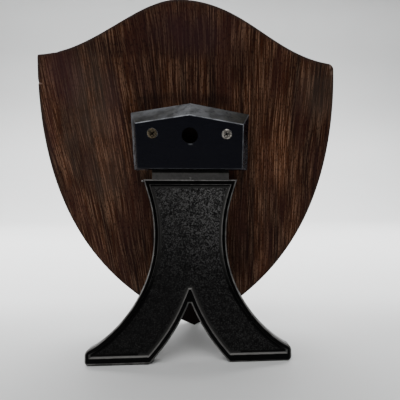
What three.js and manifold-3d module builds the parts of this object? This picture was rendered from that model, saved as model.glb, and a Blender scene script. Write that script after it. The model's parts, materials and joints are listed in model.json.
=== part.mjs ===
// A shield-shaped walnut plaque that stands on a moulded easel.
// The board leans back on its pointed tip, and a wishbone leg that is plugged
// into a hollow bracket on its back carries it on two feet.
//
// Millimetres, +Z up. The board's plain front faces -Y and the easel is at +Y.
// The origin is on the ground under the middle of the whole object.
//
// Shapes are drawn as they are seen from behind: x to the right, y up and z
// towards the viewer. A last turn stands the drawing up in the part's frame.
import * as THREE from 'three';
import { ConvexGeometry } from 'three/addons/geometries/ConvexGeometry.js';
import { mergeVertices } from 'three/addons/utils/BufferGeometryUtils.js';
import Module from 'manifold-3d';

const wasm = await Module();
wasm.setup();

// How the plaque stands
const boardLean = THREE.MathUtils.degToRad(15);
const boardTurn = THREE.MathUtils.degToRad(0.5);
const boardShift = -2.1;
const legLean = THREE.MathUtils.degToRad(7.3);
const legReach = 64;
const gap = 0.3;

// The board: a shield cut by hand, so its apex and tip are a little off its middle
const boardThickness = 16;
const boardHeight = 245.4;
const cornerHalfWidth = 98.1;
const cornerHeight = 209.7;
const apexOffset = -5;
const tipOffset = 2.7;
const backEdgeEase = 0.5;
const mouldingWidth = 6;
const mouldingDepth = 5;
const mouldingStep = 1;
const rightBelly = { low: [107.4, 57.9], high: [104.9, 163.5] };
const leftBelly = { low: [-85.6, 42.6], high: [-108.9, 122.7] };
const rightShoulder = { dip: [55.6, 213.6], apexReach: 42.6 };
const leftShoulder = { dip: [-62.1, 211.8], apexReach: 28.1 };

// The bracket, a hollow house shape with sloping sides
const bracketDepth = 15.3;
const bracketWall = 2.2;
const bracketFaceWall = 2.4;
const bracketEdgeEase = 0.6;
const bracketBase = { halfWidth: 41, bottom: 133.9, shoulder: 174.5, apex: 181.6 };
const bracketFace = { halfWidth: 35.9, bottom: 138.6, shoulder: 169.1, apex: 175.1 };
const hangHoleRadius = 5.3;
const hangHoleHeight = 161.4;
const hangHoleChamfer = 0.9;
const screwBossRadius = 4.6;

// The two countersunk screws
const screwSpacing = 49.4;
const screwHeight = 162.5;
const screwHeadRadius = 3.3;
const screwHeadRise = 0.7;
const screwHeadCone = 1.7;
const screwShankRadius = 1.6;
const screwDepthInBoard = 11;
const crossWidth = 0.9;
const crossReach = 3.8;
const crossDepth = 1.3;
const leftCrossTurn = THREE.MathUtils.degToRad(40);
const rightCrossTurn = THREE.MathUtils.degToRad(25);

// The leg
const legThickness = 8;
const legHeight = 123.8;
const legTopHalfWidth = 32.5;
const waistHalfWidth = 24.8;
const waistHeight = 83.5;
const footReach = 68.9;
const footTopHeight = 6.8;
const footTopRadius = 4.5;
const footBottomRadius = 3.2;
const footTopSlope = THREE.MathUtils.degToRad(24);
const notchHeight = 39.4;
const notchTopHalfWidth = 0.8;
const notchFootHalfWidth = 26.8;
const legEdgeRadius = 1.2;
const notchBend = [9.6, 18.1];
const footBend = [58.5, 14.3];
const waistBendLow = 39.4;
const waistBendHigh = 102;
const shoulderBend = [28.6, 110.8];
const panelDepth = 1.4;
const panelDraft = 0.5;
const flankRim = 3.2;
const topRim = 3.7;
const notchRim = 3.7;
const notchTopRim = 9.5;
const footRim = 5.1;

// The tongue that plugs the leg into the bracket
const tongueHalfWidth = 26.8;
const tongueThickness = 3.2;
const tongueSetBack = 3.2;
const tongueTop = 141;
const tongueRoot = 2;
const socketWall = 1.8;
const socketDrop = 2.5;
const nubRadius = 1.2;

// How finely curves are stepped, and how far a cut runs past the surface it opens
const sideSteps = 22;
const shoulderSteps = 12;
const coveSteps = 4;
const notchSteps = 10;
const footSteps = 4;
const lowerFlankSteps = 18;
const upperFlankSteps = 7;
const edgeRoundSteps = 3;
const domeSteps = 4;
const roundSides = 32;
const screwSides = 28;
const shankSides = 20;
const cutThrough = 1;
const overlap = 0.5;
const weldDistance = 1e-4;
const straightTurn = 0.01;

const walnut = new THREE.MeshStandardMaterial({ color: 0x3b2318, roughness: 0.55, metalness: 0 });
const blackPlastic = new THREE.MeshStandardMaterial({ color: 0x15161a, roughness: 0.4, metalness: 0 });
const legPlastic = new THREE.MeshStandardMaterial({ color: 0x1a1a1b, roughness: 0.6, metalness: 0 });
const dullBrass = new THREE.MeshStandardMaterial({ color: 0x7d6a4a, roughness: 0.45, metalness: 0.9 });
const agedNickel = new THREE.MeshStandardMaterial({ color: 0xa79f91, roughness: 0.35, metalness: 0.9 });

// A closed geometry as a solid that can be cut and joined
function solidOf(geometry) {
  const bare = geometry.clone();
  bare.deleteAttribute('normal');
  bare.deleteAttribute('uv');
  const merged = mergeVertices(bare, weldDistance);
  const vertProperties = new Float32Array(merged.getAttribute('position').array);
  const triVerts = new Uint32Array(merged.getIndex().array);
  return new wasm.Manifold(new wasm.Mesh({ numProp: 3, vertProperties, triVerts }));
}

// A cut and joined solid as a geometry again
function geometryOf(solid) {
  const mesh = solid.getMesh();
  const geometry = new THREE.BufferGeometry();
  geometry.setAttribute('position', new THREE.BufferAttribute(new Float32Array(mesh.vertProperties), 3));
  geometry.setIndex(new THREE.BufferAttribute(new Uint32Array(mesh.triVerts), 1));
  geometry.computeVertexNormals();
  return geometry;
}

// A box between two corners
function boxBetween(low, high) {
  const size = high.clone().sub(low);
  const box = new THREE.BoxGeometry(size.x, size.y, size.z);
  const middle = low.clone().add(high).multiplyScalar(0.5);
  return box.translate(middle.x, middle.y, middle.z);
}

// A round plug along z, with a radius at each end
function roundPlug(x, y, fromZ, toZ, fromRadius, toRadius, sides = roundSides) {
  const plug = new THREE.CylinderGeometry(toRadius, fromRadius, toZ - fromZ, sides);
  return plug.rotateX(Math.PI / 2).translate(x, y, (fromZ + toZ) / 2);
}

// Moves each edge of a counter-clockwise outline inwards by its own width
function insetOutline(points, widthOfEdge) {
  const count = points.length;
  return points.map((point, i) => {
    const before = points[(i + count - 1) % count];
    const after = points[(i + 1) % count];
    const inwardBefore = new THREE.Vector2(before.y - point.y, point.x - before.x).normalize();
    const inwardAfter = new THREE.Vector2(point.y - after.y, after.x - point.x).normalize();
    const widthBefore = widthOfEdge((i + count - 1) % count);
    const widthAfter = widthOfEdge(i);
    const turn = inwardBefore.cross(inwardAfter);
    if (Math.abs(turn) < straightTurn) {
      return point.clone().addScaledVector(inwardBefore, (widthBefore + widthAfter) / 2);
    }
    const dx = (widthBefore * inwardAfter.y - widthAfter * inwardBefore.y) / turn;
    const dy = (widthAfter * inwardBefore.x - widthBefore * inwardAfter.x) / turn;
    return new THREE.Vector2(point.x + dx, point.y + dy);
  });
}

// A closed skin through a stack of outlines with equal counts, capped at both ends
function solidOfRings(rings) {
  const count = rings[0].points.length;
  const positions = rings.flatMap(({ points, z }) => points.flatMap((point) => [point.x, point.y, z]));
  const index = [];
  for (let level = 0; level < rings.length - 1; level += 1) {
    for (let i = 0; i < count; i += 1) {
      const low = level * count + i;
      const lowNext = level * count + ((i + 1) % count);
      index.push(low, lowNext, lowNext + count);
      index.push(low, lowNext + count, low + count);
    }
  }
  const lastRing = (rings.length - 1) * count;
  for (const [a, b, c] of THREE.ShapeUtils.triangulateShape(rings[0].points, [])) {
    index.push(c, b, a);
  }
  for (const [a, b, c] of THREE.ShapeUtils.triangulateShape(rings.at(-1).points, [])) {
    index.push(lastRing + a, lastRing + b, lastRing + c);
  }
  const geometry = new THREE.BufferGeometry();
  geometry.setAttribute('position', new THREE.Float32BufferAttribute(positions, 3));
  geometry.setIndex(index);
  return geometry;
}

// A drawn point from its two coordinates
function at([x, y]) {
  return new THREE.Vector2(x, y);
}

// Both screws sit at one height, the same distance from the bracket's middle
const screwPlaces = [-screwSpacing / 2, screwSpacing / 2];

// The shield's outline, counter-clockwise from the tip
function boardOutline() {
  const tip = at([tipOffset, 0]);
  const apex = at([apexOffset, boardHeight]);
  const apexRight = at([apexOffset + rightShoulder.apexReach, boardHeight]);
  const apexLeft = at([apexOffset - leftShoulder.apexReach, boardHeight]);
  const rightCorner = at([cornerHalfWidth, cornerHeight]);
  const leftCorner = at([-cornerHalfWidth, cornerHeight]);
  const edges = [
    { bend: [tip, at(rightBelly.low), at(rightBelly.high), rightCorner], steps: sideSteps },
    { bend: [rightCorner, at(rightShoulder.dip), apexRight, apex], steps: shoulderSteps },
    { bend: [apex, apexLeft, at(leftShoulder.dip), leftCorner], steps: shoulderSteps },
    { bend: [leftCorner, at(leftBelly.high), at(leftBelly.low), tip], steps: sideSteps },
  ];
  return edges.flatMap(({ bend, steps }) => (
    new THREE.CubicBezierCurve(...bend).getPoints(steps).slice(0, -1)));
}

// Where the board lies on its own back plane: turned a little, with its eased tip on the ground
const boardPlace = new THREE.Vector2(
  boardShift, tipOffset * Math.sin(boardTurn) - backEdgeEase * Math.tan(boardLean));

// The board, with a cove moulding round its front and pilot holes in its back
function boardGeometry() {
  const outline = boardOutline();
  const inset = (width) => insetOutline(outline, () => width);
  const front = -boardThickness;
  const rings = [{ points: inset(mouldingWidth), z: front }];
  const coveWidth = mouldingWidth - mouldingStep;
  const coveDepth = mouldingDepth - mouldingStep;
  for (let step = 0; step <= coveSteps; step += 1) {
    const angle = (step / coveSteps) * (Math.PI / 2);
    const width = mouldingWidth - coveWidth * (1 - Math.cos(angle));
    rings.push({ points: inset(width), z: front + mouldingStep + coveDepth * Math.sin(angle) });
  }
  rings.push({ points: inset(0), z: front + mouldingDepth });
  rings.push({ points: inset(0), z: -backEdgeEase });
  rings.push({ points: inset(backEdgeEase), z: 0 });
  let board = solidOf(solidOfRings(rings));
  for (const x of screwPlaces) {
    const place = new THREE.Vector2(x, screwHeight).sub(boardPlace);
    place.rotateAround(new THREE.Vector2(), boardTurn);
    const pilot = roundPlug(place.x, place.y, -screwDepthInBoard - cutThrough, cutThrough,
      screwShankRadius + gap, screwShankRadius + gap, shankSides);
    board = board.subtract(solidOf(pilot));
  }
  return geometryOf(board);
}

// The bracket's house outline at a height above the board, counter-clockwise
function houseOutline(height) {
  const share = height / bracketDepth;
  const blend = (name) => THREE.MathUtils.lerp(bracketBase[name], bracketFace[name], share);
  return [
    at([-blend('halfWidth'), blend('bottom')]),
    at([blend('halfWidth'), blend('bottom')]),
    at([blend('halfWidth'), blend('shoulder')]),
    at([0, blend('apex')]),
    at([-blend('halfWidth'), blend('shoulder')]),
  ];
}

// The solid that spans house outlines, each at its height and drawn in by its inset
function houseSolid(levels) {
  const corners = levels.flatMap(({ height, inset }) => (
    insetOutline(houseOutline(height), () => inset).map((point) => (
      new THREE.Vector3(point.x, point.y, height)))));
  return solidOf(new ConvexGeometry(corners));
}

// From the leg's own frame, in which it stands upright, to the board's frame
const legToBoard = new THREE.Matrix4()
  .makeRotationX(-boardLean)
  .multiply(new THREE.Matrix4().makeTranslation(0, 0, legReach))
  .multiply(new THREE.Matrix4().makeRotationX(-legLean));

// A block round the tongue, grown by a clearance or a wall on every side but the bottom
function tongueBlock(bottom, grow) {
  const low = new THREE.Vector3(-tongueHalfWidth - grow, bottom, -tongueSetBack - tongueThickness - grow);
  const high = new THREE.Vector3(tongueHalfWidth + grow, tongueTop + grow, -tongueSetBack + grow);
  return boxBetween(low, high);
}

// The hollow bracket with its screw bosses, hang hole and the socket of the leg
function bracketGeometry() {
  const outside = houseSolid([
    { height: gap, inset: 0 },
    { height: bracketDepth - bracketEdgeEase, inset: 0 },
    { height: bracketDepth, inset: bracketEdgeEase },
  ]);
  const hollowTop = bracketDepth - bracketFaceWall;
  const hollow = houseSolid([
    { height: -cutThrough, inset: bracketWall },
    { height: hollowTop, inset: bracketWall },
  ]);
  const insideSpace = houseSolid([
    { height: gap, inset: bracketWall - overlap },
    { height: hollowTop + overlap, inset: bracketWall - overlap },
  ]);
  const socketBlock = tongueBlock(legHeight + socketDrop, gap + socketWall);
  let socket = solidOf(socketBlock.applyMatrix4(legToBoard));
  socket = socket.intersect(insideSpace);
  let bracket = outside.subtract(hollow).add(socket);
  for (const x of screwPlaces) {
    const boss = roundPlug(x, screwHeight, gap, hollowTop + overlap, screwBossRadius, screwBossRadius);
    bracket = bracket.add(solidOf(boss));
  }
  const slot = tongueBlock(legHeight, gap).applyMatrix4(legToBoard);
  bracket = bracket.subtract(solidOf(slot));
  const hangHole = roundPlug(0, hangHoleHeight, hollowTop - overlap, bracketDepth + cutThrough,
    hangHoleRadius, hangHoleRadius);
  const hangChamfer = roundPlug(0, hangHoleHeight, bracketDepth - hangHoleChamfer, bracketDepth + gap,
    hangHoleRadius, hangHoleRadius + hangHoleChamfer + gap);
  bracket = bracket.subtract(solidOf(hangHole)).subtract(solidOf(hangChamfer));
  for (const x of screwPlaces) {
    const shankHole = roundPlug(x, screwHeight, -cutThrough, bracketDepth + cutThrough,
      screwShankRadius + gap, screwShankRadius + gap, shankSides);
    const seat = roundPlug(x, screwHeight, bracketDepth - screwHeadCone - gap, bracketDepth + gap,
      screwShankRadius + gap, screwHeadRadius + 2 * gap);
    bracket = bracket.subtract(solidOf(shankHole)).subtract(solidOf(seat));
  }
  return geometryOf(bracket);
}

// One screw: domed head with a cross, countersunk cone and shank, pointing along -z
function screwGeometry(crossTurn) {
  const headBase = bracketDepth;
  const profile = [new THREE.Vector2(0, -screwDepthInBoard)];
  profile.push(new THREE.Vector2(screwShankRadius, -screwDepthInBoard + 2 * screwShankRadius));
  profile.push(new THREE.Vector2(screwShankRadius, headBase - screwHeadCone));
  profile.push(new THREE.Vector2(screwHeadRadius, headBase));
  for (let step = 1; step <= domeSteps; step += 1) {
    const angle = (step / domeSteps) * (Math.PI / 2);
    profile.push(new THREE.Vector2(
      step === domeSteps ? 0 : screwHeadRadius * Math.cos(angle),
      headBase + screwHeadRise * Math.sin(angle)));
  }
  const body = new THREE.LatheGeometry(profile, screwSides).rotateX(Math.PI / 2);
  let screw = solidOf(body);
  const crossTop = headBase + screwHeadRise;
  for (const turn of [crossTurn, crossTurn + Math.PI / 2]) {
    const blade = new THREE.BoxGeometry(crossReach, crossWidth, 2 * crossDepth);
    blade.rotateZ(turn).translate(0, 0, crossTop);
    screw = screw.subtract(solidOf(blade));
  }
  return geometryOf(screw);
}

// One edge after another of the leg's right half, up from the notch, each with its rim
// width. The end of the foot is rounded, or square where the sunk panel needs it.
function legRightEdges(roundedFoot) {
  const footTopCentre = at([footReach - footTopRadius, footTopHeight]);
  const footTopArc = new THREE.EllipseCurve(
    footTopCentre.x, footTopCentre.y, footTopRadius, footTopRadius, 0, Math.PI / 2 - footTopSlope);
  const flankStart = footTopArc.getPoint(1);
  const squareTop = flankStart.y - (footReach - flankStart.x) * Math.tan(footTopSlope);
  const footBottomArc = new THREE.EllipseCurve(
    footReach - footBottomRadius, footBottomRadius, footBottomRadius, footBottomRadius, -Math.PI / 2, 0);
  const squareFoot = [at([footReach, 0]), at([footReach, squareTop])];
  const roundFoot = [...footBottomArc.getPoints(footSteps), ...footTopArc.getPoints(footSteps)];
  const footEnd = roundedFoot ? roundFoot : squareFoot;
  const waist = at([waistHalfWidth, waistHeight]);
  const topCorner = at([legTopHalfWidth, legHeight]);
  const notch = new THREE.QuadraticBezierCurve(
    at([notchTopHalfWidth, notchHeight]), at(notchBend), at([notchFootHalfWidth, 0]));
  const lowerFlank = new THREE.CubicBezierCurve(
    flankStart, at(footBend), at([waistHalfWidth, waistBendLow]), waist);
  const upperFlank = new THREE.CubicBezierCurve(
    waist, at([waistHalfWidth, waistBendHigh]), at(shoulderBend), topCorner);
  return [
    { points: notch.getPoints(notchSteps), rim: notchRim },
    { points: footEnd.slice(0, 1), rim: footRim },
    { points: footEnd.slice(1), rim: flankRim },
    { points: lowerFlank.getPoints(lowerFlankSteps), rim: flankRim },
    { points: upperFlank.getPoints(upperFlankSteps), rim: flankRim },
  ];
}

// The whole outline of the leg, and the rim width along the edge after each point
function legOutline(roundedFoot) {
  const right = [];
  const rims = [];
  for (const { points, rim } of legRightEdges(roundedFoot)) {
    for (const point of points) {
      const last = right.at(-1);
      if (last && point.distanceTo(last) < weldDistance) continue;
      if (last) rims.push(rim);
      right.push(point);
    }
  }
  const left = right.map((point) => new THREE.Vector2(-point.x, point.y)).reverse();
  return {
    points: [...right, ...left],
    rims: [...rims, topRim, ...rims.toReversed(), notchTopRim],
  };
}

// The leg: a plate with a rounded front edge, a raised rim, a sunk panel and its tongue
function legGeometry() {
  const { points } = legOutline(true);
  const plate = [{ points, z: -legThickness }, { points, z: -legEdgeRadius }];
  for (let step = 1; step <= edgeRoundSteps; step += 1) {
    const angle = (step / edgeRoundSteps) * (Math.PI / 2);
    const inset = legEdgeRadius * (1 - Math.cos(angle));
    plate.push({
      points: insetOutline(points, () => inset),
      z: -legEdgeRadius * (1 - Math.sin(angle)),
    });
  }
  const square = legOutline(false);
  const panel = [-panelDepth, panelDepth].map((z) => ({
    points: insetOutline(square.points, (edge) => square.rims[edge] - panelDraft * (z / panelDepth)),
    z,
  }));
  const tongue = boxBetween(
    new THREE.Vector3(-tongueHalfWidth, legHeight - tongueRoot, -tongueSetBack - tongueThickness),
    new THREE.Vector3(tongueHalfWidth, tongueTop, -tongueSetBack));
  const nub = new THREE.IcosahedronGeometry(nubRadius, 1);
  nub.translate(0, legHeight + nubRadius, -tongueSetBack);
  const ground = boxBetween(
    new THREE.Vector3(-2 * footReach, -legThickness, -2 * legThickness),
    new THREE.Vector3(2 * footReach, 0, 2 * legThickness));
  ground.rotateX(legLean);
  const leg = solidOf(solidOfRings(plate))
    .subtract(solidOf(solidOfRings(panel)))
    .add(solidOf(tongue))
    .add(solidOf(nub))
    .subtract(solidOf(ground));
  return geometryOf(leg);
}

function namedMesh(name, geometry, material) {
  const mesh = new THREE.Mesh(geometry, material);
  mesh.name = name;
  return mesh;
}

const shieldPanel = namedMesh('shield_panel', boardGeometry(), walnut);
shieldPanel.rotation.z = -boardTurn;
shieldPanel.position.set(boardPlace.x, boardPlace.y, 0);

const easelBracket = namedMesh('easel_bracket', bracketGeometry(), blackPlastic);

const screwLeft = namedMesh('screw_left', screwGeometry(leftCrossTurn), dullBrass);
screwLeft.position.set(screwPlaces[0], screwHeight, 0);

const screwRight = namedMesh('screw_right', screwGeometry(rightCrossTurn), agedNickel);
screwRight.position.set(screwPlaces[1], screwHeight, 0);

// Everything fixed to the board leans with it
const leaningBoard = new THREE.Group();
leaningBoard.rotation.x = boardLean;
leaningBoard.add(shieldPanel, easelBracket, screwLeft, screwRight);

const easelLeg = namedMesh('easel_leg', legGeometry(), legPlastic);
easelLeg.rotation.x = -legLean;
easelLeg.position.z = legReach;

// Turns the view from behind into the part's frame: x to -X, y to +Z and z to +Y
const viewFromBehind = new THREE.Group();
viewFromBehind.rotation.set(Math.PI / 2, 0, Math.PI, 'ZYX');
viewFromBehind.add(leaningBoard, easelLeg);

const plaque = new THREE.Group();
plaque.add(viewFromBehind);
plaque.updateMatrixWorld(true);
const middle = new THREE.Box3().setFromObject(plaque, true).getCenter(new THREE.Vector3());
viewFromBehind.position.set(-middle.x, -middle.y, 0);

export default plaque;
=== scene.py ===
"""A walnut shield plaque on a moulded plastic easel, seen from its back."""

import json
import math

import bpy
import numpy as np
from bpy.props import FloatProperty, FloatVectorProperty, IntProperty, PointerProperty
from mathutils import Euler, Matrix, Vector
from mathutils.geometry import delaunay_2d_cdt
from mathutils.kdtree import KDTree


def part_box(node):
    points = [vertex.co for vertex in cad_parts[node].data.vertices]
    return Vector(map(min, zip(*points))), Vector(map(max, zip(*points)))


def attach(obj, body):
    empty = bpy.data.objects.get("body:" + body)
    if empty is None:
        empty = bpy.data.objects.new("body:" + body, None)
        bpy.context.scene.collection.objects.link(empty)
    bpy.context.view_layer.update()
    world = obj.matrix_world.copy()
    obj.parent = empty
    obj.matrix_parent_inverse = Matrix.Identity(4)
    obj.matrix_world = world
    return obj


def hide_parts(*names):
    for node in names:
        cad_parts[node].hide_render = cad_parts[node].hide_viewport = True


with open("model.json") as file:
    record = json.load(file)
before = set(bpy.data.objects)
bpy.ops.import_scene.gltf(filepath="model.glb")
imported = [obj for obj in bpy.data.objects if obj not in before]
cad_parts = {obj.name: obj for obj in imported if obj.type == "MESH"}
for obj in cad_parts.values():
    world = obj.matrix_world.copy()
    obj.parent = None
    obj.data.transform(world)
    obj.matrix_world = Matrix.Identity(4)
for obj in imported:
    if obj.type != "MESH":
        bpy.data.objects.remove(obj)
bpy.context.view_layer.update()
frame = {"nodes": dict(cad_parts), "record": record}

bl_info = {
    "name": "Shield plaque on an easel",
    "version": (1, 0, 0),
    "blender": (4, 5, 0),
    "location": "3D View > Sidebar > Plaque",
    "description": "Dresses a wooden shield plaque with its plastic easel and screws",
    "category": "Object",
}

MM = 0.001
BODY = "root"


def mount_axis(name):
    """The outward direction of one of the part's mounts."""
    for mount in frame["record"]["mounts"]:
        if mount["name"] == name:
            return Vector(mount["axis"])
    raise RuntimeError(f"the frame has no mount named {name}")


BOARD_LEAN = math.asin(mount_axis("plate_face").z)


def length(name, millimetres, description):
    """A size property, given in millimetres and kept in metres."""
    return FloatProperty(name=name, description=description, default=millimetres * MM,
                         unit="LENGTH", precision=5)


def place(name, millimetres, description):
    """A point in a piece's own flat drawing."""
    return FloatVectorProperty(name=name, description=description, size=2, unit="LENGTH",
                               default=tuple(value * MM for value in millimetres))


def colour(name, default, description):
    """A colour property, in linear light."""
    return FloatVectorProperty(name=name, description=description, size=3, subtype="COLOR",
                               min=0.0, max=1.0, default=default)


def angle(name, degrees, description):
    """An angle property, given in degrees."""
    return FloatProperty(name=name, description=description, default=math.radians(degrees),
                         unit="ROTATION")


def share(name, default, description):
    """A plain number."""
    return FloatProperty(name=name, description=description, default=default)


def power(name, watts, description):
    """The power of a light."""
    return FloatProperty(name=name, description=description, default=watts, unit="POWER")


class PlaqueBoardSettings(bpy.types.PropertyGroup):
    """Sizes and colours of the wooden shield."""
    thickness: length("Thickness", 16, "Thickness of the board")
    turn: angle("Turn", 0.5, "How far the board is turned against its bracket")
    shift: length("Shift", -2.1, "How far the tip is off the bracket's middle")
    tip: place("Tip", (2.7, 0), "The point at the bottom")
    apex: place("Apex", (-5, 245.4), "The highest point")
    corner: place("Corner", (98.1, 209.7), "The right corner, mirrored to the left")
    right_belly_low: place("Right belly, low", (107.4, 57.9), "Curve handle above the tip")
    right_belly_high: place("Right belly, high", (104.9, 163.5), "Curve handle below the corner")
    left_belly_low: place("Left belly, low", (-85.6, 42.6), "Curve handle above the tip")
    left_belly_high: place("Left belly, high", (-108.9, 122.7), "Curve handle below the corner")
    right_dip: place("Right dip", (55.6, 213.6), "Curve handle of the right shoulder")
    left_dip: place("Left dip", (-62.1, 211.8), "Curve handle of the left shoulder")
    apex_reach_right: length("Apex reach, right", 42.6, "Length of the crown's right handle")
    apex_reach_left: length("Apex reach, left", 28.1, "Length of the crown's left handle")
    edge_round: length("Edge rounding", 0.7, "Radius of the back edge")
    moulding_width: length("Moulding width", 6, "Width of the cove round the front")
    moulding_depth: length("Moulding depth", 5, "Depth of the cove round the front")
    moulding_step: length("Moulding step", 1, "Square fillet on both sides of the cove")
    # The dark wood colour is also used for the painted shade patches
    dark: colour("Dark wood", (0.0045, 0.0012, 0.0006), "Colour of the dark bands")
    brown: colour("Brown wood", (0.062, 0.0170, 0.0042), "Colour of the middle tone")
    light: colour("Light wood", (0.165, 0.101, 0.0640), "What the light streaks add")
    red: colour("Reddish wood", (0.035, 0.0100, 0.0066), "Colour of the reddish patches")
    # This colour is used for the painted sheen patches
    faded: colour("Faded wood", (0.070, 0.051, 0.040), "Colour where the finish has faded")
    purple: colour("Purplish wood", (0.040, 0.016, 0.018), "Colour of the purplish patches")
    chipped: colour("Bare wood", (0.30, 0.21, 0.17), "Colour where the edge is chipped")
    # Greyer edges: worn finish with painted shade and highlight on the rounding
    worn: colour("Worn edges", (0.032, 0.0225, 0.0195), "Colour of the worn edges")
    dust: colour("Dust", (0.16, 0.14, 0.12), "Colour of the dust on it")


class PlaqueBracketSettings(bpy.types.PropertyGroup):
    """Sizes and colours of the housing on the board's back."""
    depth: length("Depth", 15.3, "Height of the face above the board")
    wall: length("Wall", 2.2, "Thickness of the sloping walls")
    face_wall: length("Face wall", 2.4, "Thickness of the face")
    clearance: length("Clearance", 0.3, "Gap between neighbouring pieces")
    corner_round: length("Corner rounding", 0.9, "Radius of the corners seen from the front")
    edge_round: length("Edge rounding", 0.8, "Radius round the face")
    base_half_width: length("Half width on the board", 41, "Half width of the foot")
    base_bottom: length("Bottom on the board", 133.9, "Height of the lower edge")
    base_shoulder: length("Shoulder on the board", 174.5, "Height of the gable's ends")
    base_apex: length("Apex on the board", 181.6, "Height of the gable's ridge")
    face_half_width: length("Half width of the face", 35.9, "Half width of the face")
    face_bottom: length("Bottom of the face", 138.6, "Height of the face's lower edge")
    face_shoulder: length("Shoulder of the face", 169.1, "Height of the face's gable ends")
    face_apex: length("Apex of the face", 175.1, "Height of the face's gable")
    hole_radius: length("Hanging hole radius", 5.3, "Radius of the hole for a nail")
    hole_height: length("Hanging hole height", 161.4, "Height of the hanging hole")
    hole_round: length("Hanging hole lip", 0.8, "Radius of the hole's rounded lip")
    boss_radius: length("Screw boss radius", 4.6, "Radius of the posts round the screws")
    plastic: colour("Plastic", (0.0026, 0.0028, 0.0060), "Colour of the black moulding")
    # Dust, also used for the painted sheen on the wall facing +X
    dust: colour("Dust", (0.095, 0.091, 0.069), "Colour of the dust on it")
    # Pale colour of worn arrises, also used for painted highlight and painted light
    rubbed_and_lit: colour("Rubbed edges", (0.260, 0.270, 0.290), "Colour of the rubbed arrises")


class PlaqueLegSettings(bpy.types.PropertyGroup):
    """Sizes and colours of the wishbone leg."""
    lean: angle("Lean", 7.3, "How far the leg leans towards the board")
    thickness: length("Thickness", 8, "Thickness of the leg")
    height: length("Height", 123.8, "Height of the leg along itself")
    top_half_width: length("Half width of the top", 32.5, "Half width at the top")
    waist: place("Waist", (24.8, 83.5), "The narrowest place")
    waist_bend_low: length("Waist bend, low", 39.4, "Height of the handle below the waist")
    waist_bend_high: length("Waist bend, high", 102, "Height of the handle above the waist")
    shoulder_bend: place("Shoulder bend", (28.6, 110.8), "Curve handle below the top corner")
    foot_bend: place("Foot bend", (58.5, 14.3), "Curve handle above the foot")
    foot_reach: length("Foot reach", 68.9, "Half width over both feet")
    foot_top_height: length("Foot end height", 6.8, "Height of the centre of the upper round")
    foot_top_radius: length("Foot upper round", 4.5, "Radius of the foot's upper round")
    foot_bottom_radius: length("Foot lower round", 3.2, "Radius of the foot's lower round")
    foot_top_slope: angle("Foot slope", 24, "Slope of the flank where the foot begins")
    notch_top: place("Notch top", (0.8, 39.4), "The narrow top of the notch")
    notch_bend: place("Notch bend", (9.6, 18.1), "Curve handle of the notch")
    notch_foot: length("Notch foot", 26.8, "Half width of the notch on the ground")
    edge_round: length("Edge rounding", 1.2, "Radius of the front edge")
    back_round: length("Back edge rounding", 0.5, "Radius of the back edge")
    panel_depth: length("Panel depth", 1.4, "Depth of the sunk panel")
    panel_draft: length("Panel draft", 0.5, "How far the panel's wall slopes inwards")
    flank_rim: length("Flank rim", 3.2, "Width of the rim along the flanks")
    top_rim: length("Top rim", 3.7, "Width of the rim along the top")
    notch_rim: length("Notch rim", 3.7, "Width of the rim along the notch")
    notch_top_rim: length("Notch top rim", 9.5, "Width of the rim over the notch")
    foot_rim: length("Foot rim", 5.1, "Width of the rim along the ground")
    tongue_half_width: length("Tongue half width", 26.8, "Half width of the tongue")
    tongue_thickness: length("Tongue thickness", 3.2, "Thickness of the tongue")
    tongue_set_back: length("Tongue set-back", 3.2, "How far the tongue lies behind the front")
    tongue_top: length("Tongue top", 141, "Height of the tongue's end")
    socket_wall: length("Socket wall", 1.8, "Wall of the socket round the tongue")
    socket_drop: length("Socket drop", 2.5, "How far above the leg the socket begins")
    nub_radius: length("Nub radius", 1.2, "Radius of the small nub on the tongue")
    pebble_size: length("Pebble size", 0.92, "Size of the stipple's pebbles")
    pebble_height: length("Pebble height", 0.24, "Height of the stipple's pebbles")
    pebble_seed: IntProperty(name="Pebble seed", description="Pattern of the stipple", default=7)
    plastic: colour("Plastic", (0.0008, 0.0008, 0.0008), "Colour of the smooth rim")
    panel: colour("Panel", (0.0025, 0.0025, 0.0025), "Colour of the stippled panel")
    # Dust, also used for the painted light towards the panel's top
    dust: colour("Dust", (0.105, 0.099, 0.097), "Colour of the dust on it")
    # Pale pebble tops, from polishing and a painted highlight
    polished_and_highlit: colour("Polished pebbles", (0.085, 0.084, 0.083), "Colour of the pebbles' tops")
    # Pale colour of worn arrises, also used for painted highlight, sheen and light
    rubbed_and_lit: colour("Rubbed edges", (0.170, 0.166, 0.160), "Colour of the rubbed arrises")


class PlaqueScrewSettings(bpy.types.PropertyGroup):
    """Sizes and colours of the two screws."""
    spacing: length("Spacing", 49.4, "Distance between the screws")
    height: length("Height", 162.5, "Height of the screws on the board")
    head_radius: length("Head radius", 3.3, "Radius of the head")
    head_rise: length("Head rise", 0.7, "Height of the head's dome")
    head_cone: length("Head cone", 1.7, "Depth of the countersunk cone")
    shank_radius: length("Shank radius", 1.6, "Radius of the shank")
    depth_in_board: length("Depth in the board", 11, "How far the tip goes into the wood")
    cross_width: length("Cross width", 0.9, "Width of the cross's slots")
    cross_reach: length("Cross reach", 3.8, "Length of the cross's slots")
    cross_depth: length("Cross depth", 1.3, "Depth of the cross's slots")
    left_turn: angle("Left cross turn", 40, "How far the left screw's cross is turned")
    right_turn: angle("Right cross turn", 25, "How far the right screw's cross is turned")
    brass: colour("Dull brass", (0.17, 0.135, 0.088), "Colour of the left screw")
    nickel: colour("Aged nickel", (0.52, 0.48, 0.43), "Colour of the right screw")
    # Grime and painted shade in the cross's recess
    dirt_and_shade: colour("Dirt", (0.004, 0.0035, 0.003), "Colour of the dirt in the cross")


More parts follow.
